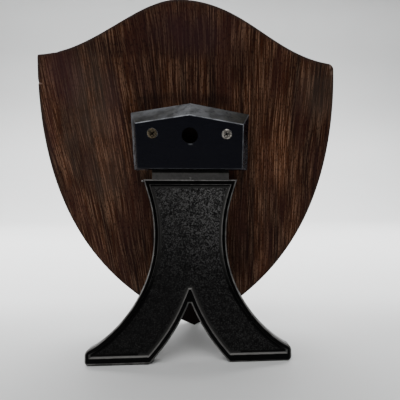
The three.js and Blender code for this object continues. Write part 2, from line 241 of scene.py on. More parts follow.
class PlaqueStageSettings(bpy.types.PropertyGroup):
    """Floor, light and camera."""
    floor: colour("Floor", (0.87, 0.88, 0.88), "Colour of the sweep")
    sky: share("Ambient light", 0.12, "Strength of the light from all round")
    walls: share("Pale walls", 0.42, "How bright the room looks beyond the sweep")
    top_light: power("Top light", 8.5, "Power of the softbox overhead")
    left_light: power("Left light", 4.0, "Power of the softbox on the left")
    backdrop_light: power("Backdrop light", 27.8, "Power of the light on the backdrop")
    camera_place: FloatVectorProperty(name="Camera", description="Where the camera stands", size=3,
                                      unit="LENGTH", default=(-0.01282, 0.27440, 0.12291))
    camera_lens: FloatProperty(name="Focal length", description="Focal length of the camera",
                               default=32.41, unit="CAMERA")
    camera_pan: angle("Pan", 3.752, "How far the camera looks to its left")
    camera_tilt: angle("Tilt", 2.815, "How far the camera looks down")
    camera_roll: angle("Roll", -0.2, "How far the camera is rolled")
    camera_shift: FloatVectorProperty(name="Shift", description="Shift of the lens", size=2,
                                      default=(-0.08, -0.0075))


SETTINGS = {
    "plaque_board": PlaqueBoardSettings,
    "plaque_bracket": PlaqueBracketSettings,
    "plaque_leg": PlaqueLegSettings,
    "plaque_screws": PlaqueScrewSettings,
    "plaque_stage": PlaqueStageSettings,
}


def plane_frame(node_name, direction, upward):
    """A flat drawing's frame on a node's outermost plane that faces one way.

    x runs to the right as seen from behind, y up along the plane and z out of it.
    """
    corners = [vertex.co.dot(direction) for vertex in frame["nodes"][node_name].data.vertices]
    ground_y = max(corners) / direction.y
    low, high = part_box("easel_bracket")
    matrix = Matrix((Vector((-1, 0, 0)), upward, direction)).transposed().to_4x4()
    matrix.translation = ((low.x + high.x) / 2, ground_y, 0)
    return matrix


def board_frame():
    """The drawing frame on the board's back."""
    back = -mount_axis("plate_face")
    up = Vector((0, math.sin(BOARD_LEAN), math.cos(BOARD_LEAN)))
    return plane_frame("shield_panel", back, up)


def leg_frame(leg):
    """The drawing frame on the leg's front."""
    front = Vector((0, math.cos(leg.lean), math.sin(leg.lean)))
    up = Vector((0, -math.sin(leg.lean), math.cos(leg.lean)))
    return plane_frame("easel_leg", front, up)


def resample(line, count):
    """Spaces points evenly along an open line."""
    steps = np.linalg.norm(np.diff(line, axis=0), axis=1)
    travelled = np.concatenate(([0.0], np.cumsum(steps)))
    wanted = np.linspace(0.0, travelled[-1], count)
    return np.column_stack([np.interp(wanted, travelled, line[:, axis]) for axis in (0, 1)])


def stretch(spacing, *lines):
    """One smooth stretch of an outline from lines that follow each other."""
    joined = np.vstack([lines[0]] + [line[1:] for line in lines[1:]])
    whole = np.linalg.norm(np.diff(joined, axis=0), axis=1).sum()
    return resample(joined, max(2, math.ceil(whole / spacing) + 1))


def bezier(*handles, steps=240):
    """A Bézier curve of any degree as a finely stepped line."""
    points = [np.asarray(handle, float)[None, :] for handle in handles]
    t = np.linspace(0.0, 1.0, steps)[:, None]
    while len(points) > 1:
        points = [a * (1 - t) + b * t for a, b in zip(points, points[1:])]
    return points[0]


def arc(centre, radius, start, end, steps=40):
    """A round arc as a finely stepped line."""
    turn = np.linspace(start, end, steps)
    return np.column_stack((centre[0] + radius * np.cos(turn), centre[1] + radius * np.sin(turn)))


def mirrored(line):
    """A line mirrored from the right to the left, still counter-clockwise."""
    return line[::-1] * (-1, 1)


def crossing(first, second, corner):
    """Where two lines cross nearest to a corner, as a position along each of them."""
    a, b = first[:-1, None], second[None, :-1]
    along_a, along_b = np.diff(first, axis=0)[:, None], np.diff(second, axis=0)[None, :]
    turn = along_a[..., 0] * along_b[..., 1] - along_a[..., 1] * along_b[..., 0]
    turn = np.where(np.abs(turn) < 1e-18, np.nan, turn)
    gap = b - a
    share_a = (gap[..., 0] * along_b[..., 1] - gap[..., 1] * along_b[..., 0]) / turn
    share_b = (gap[..., 0] * along_a[..., 1] - gap[..., 1] * along_a[..., 0]) / turn
    hit = (share_a >= 0) & (share_a <= 1) & (share_b >= 0) & (share_b <= 1)
    if not hit.any():
        raise RuntimeError("two stretches of an outline don't meet after their inset")
    places = a + along_a * share_a[..., None]
    distance = np.where(hit, np.linalg.norm(places - corner, axis=-1), np.inf)
    i, j = np.unravel_index(np.argmin(distance), distance.shape)
    return i + share_a[i, j], j + share_b[i, j]


def between(line, start, end):
    """The part of a line between two positions along it."""
    positions = np.arange(len(line))
    inside = positions[(positions > start) & (positions < end)]
    wanted = np.concatenate(([start], inside, [end]))
    return np.column_stack([np.interp(wanted, positions, line[:, axis]) for axis in (0, 1)])


def inset(stretches, widths):
    """Moves the stretches of a counter-clockwise outline inwards and mitres its corners again."""
    moved = []
    for line, width in zip(stretches, widths):
        along = np.gradient(line, axis=0)
        along /= np.linalg.norm(along, axis=1)[:, None]
        shifted = line + np.column_stack((-along[:, 1], along[:, 0])) * width
        reach = 4 * abs(width) + 0.1 * MM
        moved.append(np.vstack((shifted[0] - along[0] * reach, shifted,
                                shifted[-1] + along[-1] * reach)))
    ends, starts = [], []
    for i, line in enumerate(moved):
        following = moved[(i + 1) % len(moved)]
        end, start = crossing(line, following, stretches[i][-1])
        ends.append(end)
        starts.append(start)
    return [resample(between(line, starts[i - 1], ends[i]), len(stretches[i]))
            for i, line in enumerate(moved)]


def closed(stretches):
    """One closed line, without the points that its stretches share."""
    return np.vstack([line[:-1] for line in stretches])


def polygon_inset(corners, width):
    """A straight-edged outline moved inwards."""
    lines = [np.array((a, b)) for a, b in zip(corners, np.roll(corners, -1, axis=0))]
    return closed(inset(lines, [width] * len(lines)))


def rounded_polygon(corners, radius, steps=6):
    """A straight-edged counter-clockwise outline with round corners."""
    points = []
    for i, corner in enumerate(corners):
        back = corners[i - 1] - corner
        ahead = corners[(i + 1) % len(corners)] - corner
        back, ahead = back / np.linalg.norm(back), ahead / np.linalg.norm(ahead)
        half = math.acos(np.clip(back @ ahead, -1, 1)) / 2
        middle = (back + ahead) / np.linalg.norm(back + ahead)
        centre = corner + middle * radius / math.sin(half)
        toward = math.atan2(-middle[1], -middle[0])
        sweep = math.pi / 2 - half
        points.append(arc(centre, radius, toward - sweep, toward + sweep, steps))
    return np.vstack(points)


def rounding(radius, steps=5):
    """(inset, drop) pairs of a quarter round, from the wall to the face."""
    turns = np.linspace(0.0, math.pi / 2, steps + 1)
    return [(radius * (1 - math.cos(turn)), radius * (1 - math.sin(turn))) for turn in turns]


class Shell:
    """The skin of one piece, gathered ring by ring in a drawing frame."""

    def __init__(self, *mark_names):
        self.points = []
        self.marks = []
        self.faces = []
        self.mark_names = mark_names

    def ring(self, line, height, *marks):
        """Adds a closed line at a height and gives its place in the skin."""
        start = len(self.points)
        self.points += [(x, y, height) for x, y in line]
        self.marks += [marks or (0.0,) * len(self.mark_names)] * len(line)
        return np.arange(start, len(self.points))

    def bridge(self, low, high):
        """Joins two rings with equal counts; high is nearer to the top or the inside."""
        for i, j in zip(range(len(low)), np.roll(range(len(low)), -1)):
            self.faces.append((low[i], low[j], high[j], high[i]))

    def skin(self, rings):
        """Joins each ring to the next."""
        for low, high in zip(rings, rings[1:]):
            self.bridge(low, high)

    def fill(self, outer, hole=None, inner=None, facing=1):
        """Closes a flat region inside a ring with triangles, round a hole or over inner points."""
        names, rims = [], []
        for rim in (outer, hole):
            if rim is not None:
                rims.append(list(range(len(names), len(names) + len(rim))))
                names += list(rim)
        names += [] if inner is None else list(inner)
        flat = [Vector(self.points[i][:2]) for i in names]
        places, _, triangles, origins, _, owners = delaunay_2d_cdt(flat, [], rims, 0, 1e-8, True)
        for triangle, owner in zip(triangles, owners):
            if owner != [0]:
                continue
            a, b, c = (places[i] for i in triangle)
            picked = [origins[i][0] for i in triangle]
            if (b - a).cross(c - a) * facing < 0:
                picked.reverse()
            self.faces.append(tuple(names[i] for i in picked))

    def build(self, name, matrix):
        """The skin as an object at the origin, with its place in its mesh."""
        mesh = bpy.data.meshes.new(name)
        mesh.from_pydata([matrix @ Vector(point) for point in self.points], [],
                         [[int(i) for i in face] for face in self.faces])
        for index, mark_name in enumerate(self.mark_names):
            attribute = mesh.attributes.new(mark_name, "FLOAT", "POINT")
            values = [marks[index] for marks in self.marks]
            attribute.data.foreach_set("value", np.asarray(values, np.float32))
        mesh.validate()
        piece = bpy.data.objects.new(name, mesh)
        bpy.context.scene.collection.objects.link(piece)
        return piece


def prism(levels, matrix, name="tool"):
    """A closed solid through outlines with equal counts, each with its height."""
    shell = Shell()
    rings = [shell.ring(line, height) for line, height in levels]
    shell.skin(rings)
    shell.faces.append(tuple(rings[0][::-1]))
    shell.faces.append(tuple(rings[-1]))
    return shell.build(name, matrix)


def lathe(profile, centre, matrix, sides=64):
    """A closed turned solid from (radius, height) pairs that run upwards."""
    return prism([(arc(centre, radius, 0, 2 * math.pi, sides + 1)[:-1], height)
                  for radius, height in profile], matrix)


def rectangle(low, high):
    """A rectangle's corners, counter-clockwise."""
    return np.array(((low[0], low[1]), (high[0], low[1]), (high[0], high[1]), (low[0], high[1])))


def baked(piece):
    """Turns the piece's modifiers into its plain mesh."""
    evaluated = piece.evaluated_get(bpy.context.evaluated_depsgraph_get())
    mesh = bpy.data.meshes.new_from_object(evaluated)
    mesh.name = piece.name
    piece.modifiers.clear()
    piece.data = mesh
    return piece


def carve(piece, tool, operation):
    """Joins a tool to the piece or cuts it away, and removes the tool."""
    modifier = piece.modifiers.new(operation.title(), "BOOLEAN")
    modifier.operation = operation
    modifier.solver = "MANIFOLD"
    modifier.object = tool
    bpy.context.view_layer.update()
    baked(piece)
    bpy.data.objects.remove(tool)
    return piece


def smooth(piece, sharp_degrees):
    """Smooth shading with crisp arrises, and flat faces kept flat beside round edges."""
    piece.data.shade_smooth()
    piece.data.set_sharp_from_angle(angle=math.radians(sharp_degrees))
    weighted = piece.modifiers.new("Weighted normals", "WEIGHTED_NORMAL")
    weighted.keep_sharp = True
    bpy.context.view_layer.update()
    return baked(piece)


def finish_piece(piece, node_name, material=None):
    """Hands a finished piece to the frame in place of its CAD node."""
    if material is not None:
        piece.data.materials.clear()
        piece.data.materials.append(material)
    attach(piece, BODY)
    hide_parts(node_name)


def feed(tree, node, inputs):
    """Gives a node's inputs values or links them to sockets."""
    for name, value in inputs.items():
        socket = node.inputs[name]
        if isinstance(value, bpy.types.NodeSocket):
            tree.links.new(value, socket)
        else:
            socket.default_value = value


def add_node(tree, kind, inputs=None, **attributes):
    """A node with its attributes set and its inputs given as values or sockets."""
    node = tree.nodes.new(kind)
    for name, value in attributes.items():
        setattr(node, name, value)
    feed(tree, node, inputs or {})
    return node


def math_node(tree, operation, *values, clamp=False):
    """The result of a Math node."""
    inputs = dict(enumerate(values))
    return add_node(tree, "ShaderNodeMath", inputs, operation=operation, use_clamp=clamp).outputs[0]


def product(tree, *values):
    """Several values multiplied."""
    result = values[0]
    for value in values[1:]:
        result = math_node(tree, "MULTIPLY", result, value)
    return result


def vector_node(tree, operation, *values):
    """The result of a Vector Math node."""
    node = add_node(tree, "ShaderNodeVectorMath", dict(enumerate(values)), operation=operation)
    return node.outputs["Value" if operation in ("DOT_PRODUCT", "LENGTH") else "Vector"]


def remapped(tree, value, low, high, to_low=0.0, to_high=1.0):
    """A value taken smoothly from one range to another."""
    node = add_node(tree, "ShaderNodeMapRange",
                    {"Value": value, "From Min": low, "From Max": high,
                     "To Min": to_low, "To Max": to_high},
                    interpolation_type="SMOOTHSTEP")
    return node.outputs["Result"]


def mixed(tree, amount, first, second, blend="MIX"):
    """Two colours mixed."""
    node = add_node(tree, "ShaderNodeMix", {0: amount}, data_type="RGBA", blend_type=blend)
    feed(tree, node, {6: first, 7: second})
    return node.outputs[2]


def rgba(value):
    """A colour property with full alpha."""
    return (*value, 1.0)


def mark(tree, name):
    """A mark that the piece's mesh carries, such as how worn it is."""
    return add_node(tree, "ShaderNodeAttribute", attribute_name=name).outputs["Fac"]


def facing(tree, *direction):
    """How far the surface faces one way, from -1 to 1."""
    normal = tree.nodes.new("ShaderNodeNewGeometry").outputs["Normal"]
    return vector_node(tree, "DOT_PRODUCT", normal, direction)


def noise(tree, vector, scale, detail=2.0, roughness=0.5):
    """A noise texture's value."""
    return add_node(tree, "ShaderNodeTexNoise",
                    {"Vector": vector, "Scale": scale, "Detail": detail, "Roughness": roughness},
                    noise_dimensions="3D").outputs["Fac"]


def new_group(name, inputs, outputs):
    """An empty shader group with named sockets."""
    tree = bpy.data.node_groups.new(name, "ShaderNodeTree")
    for socket_name, kind, default in inputs:
        socket = tree.interface.new_socket(socket_name, in_out="INPUT", socket_type=kind)
        if default is not None:
            socket.default_value = default
    for socket_name, kind in outputs:
        tree.interface.new_socket(socket_name, in_out="OUTPUT", socket_type=kind)
    given = tree.nodes.new("NodeGroupInput").outputs
    wanted = tree.nodes.new("NodeGroupOutput").inputs
    return tree, given, wanted


def use_group(tree, name, build, **inputs):
    """A shared group, built once; underscores stand for spaces in its sockets' names."""
    group = bpy.data.node_groups.get(name) or build(name)
    node = add_node(tree, "ShaderNodeGroup", node_tree=group)
    feed(tree, node, {key.replace("_", " "): value for key, value in inputs.items()})
    return node.outputs


def build_wood_grain(name):
    """Long streaks, bands and pores along Y, leaning over towards negative X."""
    tree, given, wanted = new_group(
        name,
        [("Vector", "NodeSocketVector", None), ("Dark", "NodeSocketColor", None),
         ("Brown", "NodeSocketColor", None), ("Light", "NodeSocketColor", None),
         ("Red", "NodeSocketColor", None), ("Slant", "NodeSocketFloat", 0.13),
         ("Stain", "NodeSocketFloat", 0.0), ("Glow", "NodeSocketFloat", 0.0)],
        [("Color", "NodeSocketColor"), ("Height", "NodeSocketFloat"),
         ("Roughness", "NodeSocketFloat")])
    split = add_node(tree, "ShaderNodeSeparateXYZ", {"Vector": given["Vector"]})
    across, along, through = split.outputs
    wobble = noise(tree, vector_node(tree, "MULTIPLY", given["Vector"], (14.0, 5.0, 14.0)), 1.0)
    leaning = remapped(tree, across, 0.03, -0.09)
    carried = product(tree, leaning, given["Slant"], math_node(tree, "SUBTRACT", along, 0.12))
    swayed = product(tree, math_node(tree, "SUBTRACT", wobble, 0.5), 0.014)
    fibre = math_node(tree, "ADD", math_node(tree, "ADD", across, carried), swayed)
    grain = add_node(tree, "ShaderNodeCombineXYZ", {"X": fibre, "Y": along, "Z": through}).outputs[0]

    def streaks(across_scale, along_scale, detail, low, high):
        """Noise drawn out along the grain, with its scales per metre across and along it."""
        stretched = vector_node(tree, "MULTIPLY", grain, (across_scale, along_scale, across_scale))
        return remapped(tree, noise(tree, stretched, 1.0, detail, 0.6), low, high)

    bands = streaks(105.0, 4.0, 2.0, 0.34, 0.66)
    middle = streaks(430.0, 9.0, 3.0, 0.36, 0.66)
    fine = streaks(1300.0, 33.0, 3.0, 0.44, 0.67)
    pores = streaks(1600.0, 420.0, 1.0, 0.50, 0.66)
    blotches = noise(tree, vector_node(tree, "MULTIPLY", grain, (60.0, 16.0, 60.0)), 1.0)
    patches = remapped(tree, blotches, 0.46, 0.66)
    tone = math_node(tree, "MULTIPLY_ADD", bands, 0.45, product(tree, middle, 0.36))
    tone = math_node(tree, "MULTIPLY_ADD", fine, 0.16, tone)
    tone = math_node(tree, "ADD", tone, given["Glow"])
    # Darker patches, of stain and of painted shade, pull the tone down and towards red
    outside_stain_and_shade = math_node(tree, "SUBTRACT", 1.0, given["Stain"])
    tone = math_node(tree, "MULTIPLY", tone, outside_stain_and_shade, clamp=True)
    base = mixed(tree, tone, given["Dark"], given["Brown"])
    flecks = product(tree, fine, math_node(tree, "MULTIPLY_ADD", tone, 0.80, 0.30))
    lit = mixed(tree, flecks, base, given["Light"], blend="ADD")
    reddened = mixed(tree, product(tree, patches, 0.6), lit, given["Red"])
    reddened = mixed(tree, product(tree, given["Stain"], 0.35), reddened, given["Red"])
    shaded = mixed(tree, product(tree, pores, 0.62), reddened, given["Dark"])
    tree.links.new(shaded, wanted["Color"])
    height = math_node(tree, "SUBTRACT", product(tree, fine, 0.4), pores)
    tree.links.new(height, wanted["Height"])
    tree.links.new(remapped(tree, middle, 0.0, 1.0, 0.50, 0.62), wanted["Roughness"])
    return tree


def build_soft_patch(name):
    """A soft oval mask round a place."""
    tree, given, wanted = new_group(
        name,
        [("Vector", "NodeSocketVector", None), ("Centre", "NodeSocketVector", None),
         ("Size", "NodeSocketVector", None), ("Strength", "NodeSocketFloat", 1.0)],
        [("Mask", "NodeSocketFloat")])
    away = vector_node(tree, "SUBTRACT", given["Vector"], given["Centre"])
    distance = vector_node(tree, "LENGTH", vector_node(tree, "DIVIDE", away, given["Size"]))
    mask = product(tree, remapped(tree, distance, 1.25, 0.35), given["Strength"])
    tree.links.new(mask, wanted["Mask"])
    return tree


def build_dust(name):
    """Dust that settles on what faces up, broken up by noise."""
    tree, given, wanted = new_group(
        name,
        [("Vector", "NodeSocketVector", None), ("Amount", "NodeSocketFloat", 0.5),
         ("Speckle", "NodeSocketFloat", 480.0), ("Everywhere", "NodeSocketFloat", 0.0)],
        [("Mask", "NodeSocketFloat")])
    upward = remapped(tree, facing(tree, 0.0, 0.0, 1.0), 0.15, 0.85)
    weight = math_node(tree, "MAXIMUM", upward, given["Everywhere"])
    cloud = remapped(tree, noise(tree, given["Vector"], 150.0, 3.0), 0.3, 0.7, 0.40, 1.0)
    specks = remapped(tree, noise(tree, given["Vector"], given["Speckle"], 3.0), 0.35, 0.62, 0.3, 1.0)
    mask = math_node(tree, "MULTIPLY", product(tree, weight, product(tree, cloud, specks)),
                     given["Amount"], clamp=True)
    tree.links.new(mask, wanted["Mask"])
    return tree


def build_moulded_skin(name):
    """The faint unevenness of moulded plastic, with handling marks in its gloss."""
    tree, given, wanted = new_group(
        name,
        [("Vector", "NodeSocketVector", None), ("Roughness", "NodeSocketFloat", 0.4),
         ("Spread", "NodeSocketFloat", 0.1)],
        [("Roughness", "NodeSocketFloat"), ("Height", "NodeSocketFloat")])
    stretched = vector_node(tree, "MULTIPLY", given["Vector"], (60.0, 60.0, 180.0))
    smears = remapped(tree, noise(tree, stretched, 1.0, 3.0), 0.3, 0.7)
    spread = product(tree, math_node(tree, "SUBTRACT", smears, 0.5), given["Spread"])
    tree.links.new(math_node(tree, "ADD", given["Roughness"], spread), wanted["Roughness"])
    tree.links.new(noise(tree, given["Vector"], 1400.0), wanted["Height"])
    return tree


def new_material(name):
    """A material with a Principled shader, and its tree and coordinates."""
    material = bpy.data.materials.new(name)
    material.use_nodes = True
    tree = material.node_tree
    shader = tree.nodes["Principled BSDF"]
    coordinates = tree.nodes.new("ShaderNodeTexCoord").outputs["Object"]
    return material, tree, shader, coordinates


def drawing_coordinates(tree, coordinates, matrix):
    """Object coordinates taken into a piece's drawing frame."""
    mapping = add_node(tree, "ShaderNodeMapping",
                       {"Vector": coordinates, "Location": matrix.translation,
                        "Rotation": matrix.to_euler()}, vector_type="TEXTURE")
    return mapping.outputs["Vector"]


def bump(tree, shader, height, distance, strength=1.0):
    """Feeds a height into the shader's normal."""
    node = add_node(tree, "ShaderNodeBump",
                    {"Height": height, "Distance": distance, "Strength": strength})
    tree.links.new(node.outputs["Normal"], shader.inputs["Normal"])


# Soft patches on the board's back: where, how wide and high, in millimetres, and how strong
# Darker patches of stain in the wood, and at the tip painted shade where the leg shades it
DARK_STAIN_AND_SHADE_PATCHES = (
    ((-6, 223), (29, 18), 0.85),
    ((-48, 216), (26, 8), 0.55),
    ((-4, 185), (36, 5), 0.55),
    ((30, 208), (17, 17), 0.45),
    ((-43, 72), (11, 24), 0.50),
    ((37, 69), (11, 28), 0.60),
    ((-30, 195), (16, 13), 0.40),
    # Painted shade at the tip, under the leg
    ((0, 2), (30, 28), 1.00),
    ((0, 206), (60, 26), 0.28),
    ((-84.5, 168), (2.6, 14), 0.60),
    ((-82, 148), (2.6, 14), 0.65),
    ((-79.5, 128), (2.6, 14), 0.60),
    ((-68, 128), (3, 13), 0.45),
)
# Painted shade: above the bracket's gable, in the hanging hole, at the tip under the leg and beside
# the tongue
SHADED_PATCHES = (
    ((-27, 182), (13, 7), 0.50),
    ((19, 183), (12, 6), 0.45),
    ((0, 161), (8, 8), 1.00),
    ((0, 0), (36, 34), 1.80),
    ((30, 126), (9, 10), 0.45),
    ((-31, 126), (9, 10), 0.45),
)
GLOW_PATCHES = (
    ((-93, 172), (6, 38), 0.45),
    ((-62, 150), (15, 38), 0.35),
    ((-80, 180), (14, 24), 0.20),
    ((62, 144), (16, 30), 0.50),
    ((-62, 168), (2.6, 14), 0.45),
    ((-59.5, 148), (2.6, 14), 0.45),
    ((-92.7, 165), (3.6, 14), 0.30),
    ((-88, 132), (3.6, 16), 0.45),
    ((-81, 108), (4, 16), 0.40),
    ((56, 54), (7, 20), 0.40),
)
# Painted sheen: greyer, paler patches, mostly where the board's left as seen from behind reflects
# more light
PAINTED_SHEEN_PATCHES = (
    ((-66, 180), (18, 40), 0.45),
    ((-62, 134), (18, 26), 0.35),
    ((-84, 150), (8, 34), 0.25),
    ((90, 190), (20, 20), 0.30),
)
PURPLE_PATCHES = (
    ((-84, 196), (15, 20), 0.55),
    ((-52, 176), (8, 30), 0.35),
    ((-96, 160), (4, 34), 0.35),
    ((4, 226), (34, 16), 0.40),
)
CHIPPED_PATCHES = (
    ((-99.2, 192.4), (1.9, 0.7), 0.90),
    ((95.6, 207.6), (0.9, 2.2), 0.55),
    ((97.0, 203.2), (0.9, 1.8), 0.45),
)


PATCH_DEPTH = 12 * MM


def patch_mask(tree, local, patches):
    """The strongest of several soft patches at each point."""
    mask = 0.0
    for centre, size, strength in patches:
        patch = use_group(tree, "soft_patch", build_soft_patch, Vector=local,
                          Centre=(centre[0] * MM, centre[1] * MM, 0.0),
                          Size=(size[0] * MM, size[1] * MM, PATCH_DEPTH), Strength=strength)
        mask = math_node(tree, "MAXIMUM", patch["Mask"], mask)
    broken = remapped(tree, noise(tree, local, 70.0, 3.0), 0.3, 0.6, 0.55, 1.0)
    return product(tree, mask, broken)


def walnut_material(board):
    """Dark walnut under a thin satin finish, greyer along its edges with worn finish and painted
    shade and highlight, and with patches of painted shade and sheen.
    """
    material, tree, shader, coordinates = new_material("walnut")
    local = drawing_coordinates(tree, coordinates, board_frame())
    grain = use_group(tree, "wood_grain", build_wood_grain, Vector=local,
                      Dark=rgba(board.dark), Brown=rgba(board.brown), Light=rgba(board.light),
                      Red=rgba(board.red), Stain=patch_mask(tree, local, DARK_STAIN_AND_SHADE_PATCHES),
                      Glow=patch_mask(tree, local, GLOW_PATCHES))
    ragged = remapped(tree, noise(tree, coordinates, 420.0), 0.3, 0.7, 0.75, 1.0)
    # The rounded edges go greyer: partly worn finish, partly painted shade and highlight on the
    # rounding
    worn = product(tree, mark(tree, "edge"), ragged, 0.85)
    dust = use_group(tree, "dust", build_dust, Vector=coordinates, Amount=0.06)
    toned = mixed(tree, worn, grain["Color"], rgba(board.worn))
    # Patches of painted sheen, purplish wood, bare chips and painted shade
    for patches, tone in ((PAINTED_SHEEN_PATCHES, board.faded), (PURPLE_PATCHES, board.purple),
                          (CHIPPED_PATCHES, board.chipped), (SHADED_PATCHES, board.dark)):
        toned = mixed(tree, patch_mask(tree, local, patches), toned, rgba(tone))
    paler = mixed(tree, dust["Mask"], toned, rgba(board.dust))
    feed(tree, shader, {"Base Color": paler, "Roughness": grain["Roughness"],
                        "Specular IOR Level": 0.09})
    bump(tree, shader, grain["Height"], 0.08 * MM, 0.6)
    return material


def bracket_material(bracket):
    """Smooth black plastic with dust on the gable, arrises worn pale and given a painted highlight,
    and painted light on its side walls.
    """
    material, tree, shader, coordinates = new_material("bracket_plastic")
    below_hole = bracket.hole_height - bracket.hole_radius - 0.45 * MM
    fleck = use_group(tree, "soft_patch", build_soft_patch, Vector=coordinates,
                      Centre=board_frame() @ Vector((0.4 * MM, below_hole, bracket.depth)),
                      Size=(1.7 * MM, 0.5 * MM, 0.7 * MM), Strength=0.30)
    skin = use_group(tree, "moulded_skin", build_moulded_skin, Vector=coordinates,
                     Roughness=0.26, Spread=0.12)
    sideways, upward = facing(tree, 1.0, 0.0, 0.0), facing(tree, 0.0, 0.0, 1.0)
    # Dust, and on the wall facing +X a painted sheen given as dust on every side facing that way
    dust = use_group(tree, "dust", build_dust, Vector=coordinates, Amount=0.30,
                     Everywhere=remapped(tree, sideways, 0.4, 0.9, 0.006, 0.67))
    toned = mixed(tree, dust["Mask"], rgba(bracket.plastic), rgba(bracket.dust))
    film = remapped(tree, upward, 0.4, 0.9, 0.0, 0.085)
    toned = mixed(tree, film, toned, rgba(bracket.dust))
    # Painted light on the wall facing -X, paler towards its lower end
    level = add_node(tree, "ShaderNodeSeparateXYZ", {"Vector": coordinates}).outputs["Z"]
    painted_wall_light_from, painted_wall_light_to = 0.158, 0.136
    painted_wall_light = product(tree, remapped(tree, sideways, -0.4, -0.9, 0.0, 0.13),
                      remapped(tree, level, painted_wall_light_from, painted_wall_light_to))
    toned = mixed(tree, painted_wall_light, toned, rgba(bracket.rubbed_and_lit))
    # Arrises worn pale with a painted highlight, and a small pale fleck below the hanging hole
    uneven = remapped(tree, noise(tree, coordinates, 160.0, 3.0), 0.35, 0.65, 0.4, 1.0)
    rub_and_highlight = product(tree, math_node(tree, "MAXIMUM", mark(tree, "wear_and_highlight"), fleck["Mask"]), uneven)
    toned = mixed(tree, rub_and_highlight, toned, rgba(bracket.rubbed_and_lit))
    rough = math_node(tree, "ADD", skin["Roughness"], product(tree, dust["Mask"], 0.4), clamp=True)
    feed(tree, shader, {"Base Color": toned, "Roughness": rough, "Specular IOR Level": 0.08})
    bump(tree, shader, skin["Height"], 0.01 * MM)
    return material


def leg_material(leg):
    """Black plastic, satin on the rim, matt on the panel, worn pale along its arrises, with painted
    highlight, sheen, light and shadow.
    """
    material, tree, shader, coordinates = new_material("leg_plastic")
    local = drawing_coordinates(tree, coordinates, leg_frame(leg))
    split = add_node(tree, "ShaderNodeSeparateXYZ", {"Vector": local})
    across, height, outward = split.outputs
    panel, upward = mark(tree, "stipple"), facing(tree, 0.0, 0.0, 1.0)
    gloss = remapped(tree, panel, 0.0, 1.0, 0.30, 0.42)
    skin = use_group(tree, "moulded_skin", build_moulded_skin, Vector=coordinates,
                     Roughness=gloss, Spread=0.1)

    # Dust lies on the panel, more of it towards the top as a painted light, and on the tongue between
    # the leg's top and the bracket, fading just under the bracket as a painted shadow
    out_of_leg = remapped(tree, height, leg.height + 0.2 * MM, leg.height + 0.8 * MM, 0.0, 2.0)
    outside_painted_bracket_shadow = remapped(tree, height, leg.height + 4.4 * MM, leg.height + 5.4 * MM, 1.0, 0.05)
    tongue = product(tree, out_of_leg, outside_painted_bracket_shadow)
    dust_and_painted_light = remapped(tree, height, 0.045, leg.height, 0.035, 0.20)
    dust_and_painted_light = math_node(tree, "MULTIPLY_ADD", dust_and_painted_light, panel, tongue)
    dust = use_group(tree, "dust", build_dust, Vector=coordinates, Amount=0.8, Everywhere=dust_and_painted_light)
    toned = mixed(tree, panel, rgba(leg.plastic), rgba(leg.panel))
    toned = mixed(tree, dust["Mask"], toned, rgba(leg.dust))
    # Painted light makes the tongue paler still
    toned = mixed(tree, product(tree, tongue, 0.32), toned, rgba(leg.rubbed_and_lit))

    # The pebbles' tops are paler from polishing and a painted highlight, most of all high up and on
    # the right as seen from behind
    uneven = noise(tree, coordinates, 520.0)
    polish_and_highlight = product(tree, remapped(tree, mark(tree, "peak"), 0.06, 0.55),
                     remapped(tree, height, 0.04, 0.125, 0.13, 0.84),
                     remapped(tree, across, -0.022, 0.018, 0.60, 1.15),
                     remapped(tree, uneven, 0.36, 0.62, 0.30, 1.25))
    toned = mixed(tree, polish_and_highlight, toned, rgba(leg.polished_and_highlit))
    # Painted sheen on the panel's walls and the floor beside them, facing sideways and most where
    # they face up
    sheen = math_node(tree, "ADD", remapped(tree, upward, -0.25, 0.05, 0.0, 0.34),
                      remapped(tree, upward, 0.50, 0.95, 0.0, 0.44))
    toned = mixed(tree, product(tree, sheen, mark(tree, "wall")), toned, rgba(leg.rubbed_and_lit))

    # The arrises are worn pale with a painted highlight that fades where they face down, and a
    # painted highlight runs as a line over the sole of the left foot as seen from behind
    painted_sole_highlight = 1.5 * MM
    off_sole = math_node(tree, "ABSOLUTE", math_node(tree, "SUBTRACT", height, painted_sole_highlight))
    sole = product(tree, remapped(tree, off_sole, 0.35 * MM, 0.15 * MM, 0.0, 0.45),
                   remapped(tree, outward, -0.4 * MM, -0.1 * MM),
                   remapped(tree, across, 0.0, -0.03, 0.0, 1.8))
    uneven = noise(tree, coordinates, 160.0, 3.0)
    rub_and_highlight = product(tree, remapped(tree, uneven, 0.35, 0.65, 0.45, 1.0),
                  remapped(tree, upward, -0.58, -0.30, 0.15, 1.0),
                  math_node(tree, "MAXIMUM", mark(tree, "wear_and_highlight"), sole))
    toned = mixed(tree, rub_and_highlight, toned, rgba(leg.rubbed_and_lit))
    feed(tree, shader, {"Base Color": toned, "Roughness": skin["Roughness"],
                        "Specular IOR Level": 0.06})
    bump(tree, shader, skin["Height"], 0.012 * MM)
    return material


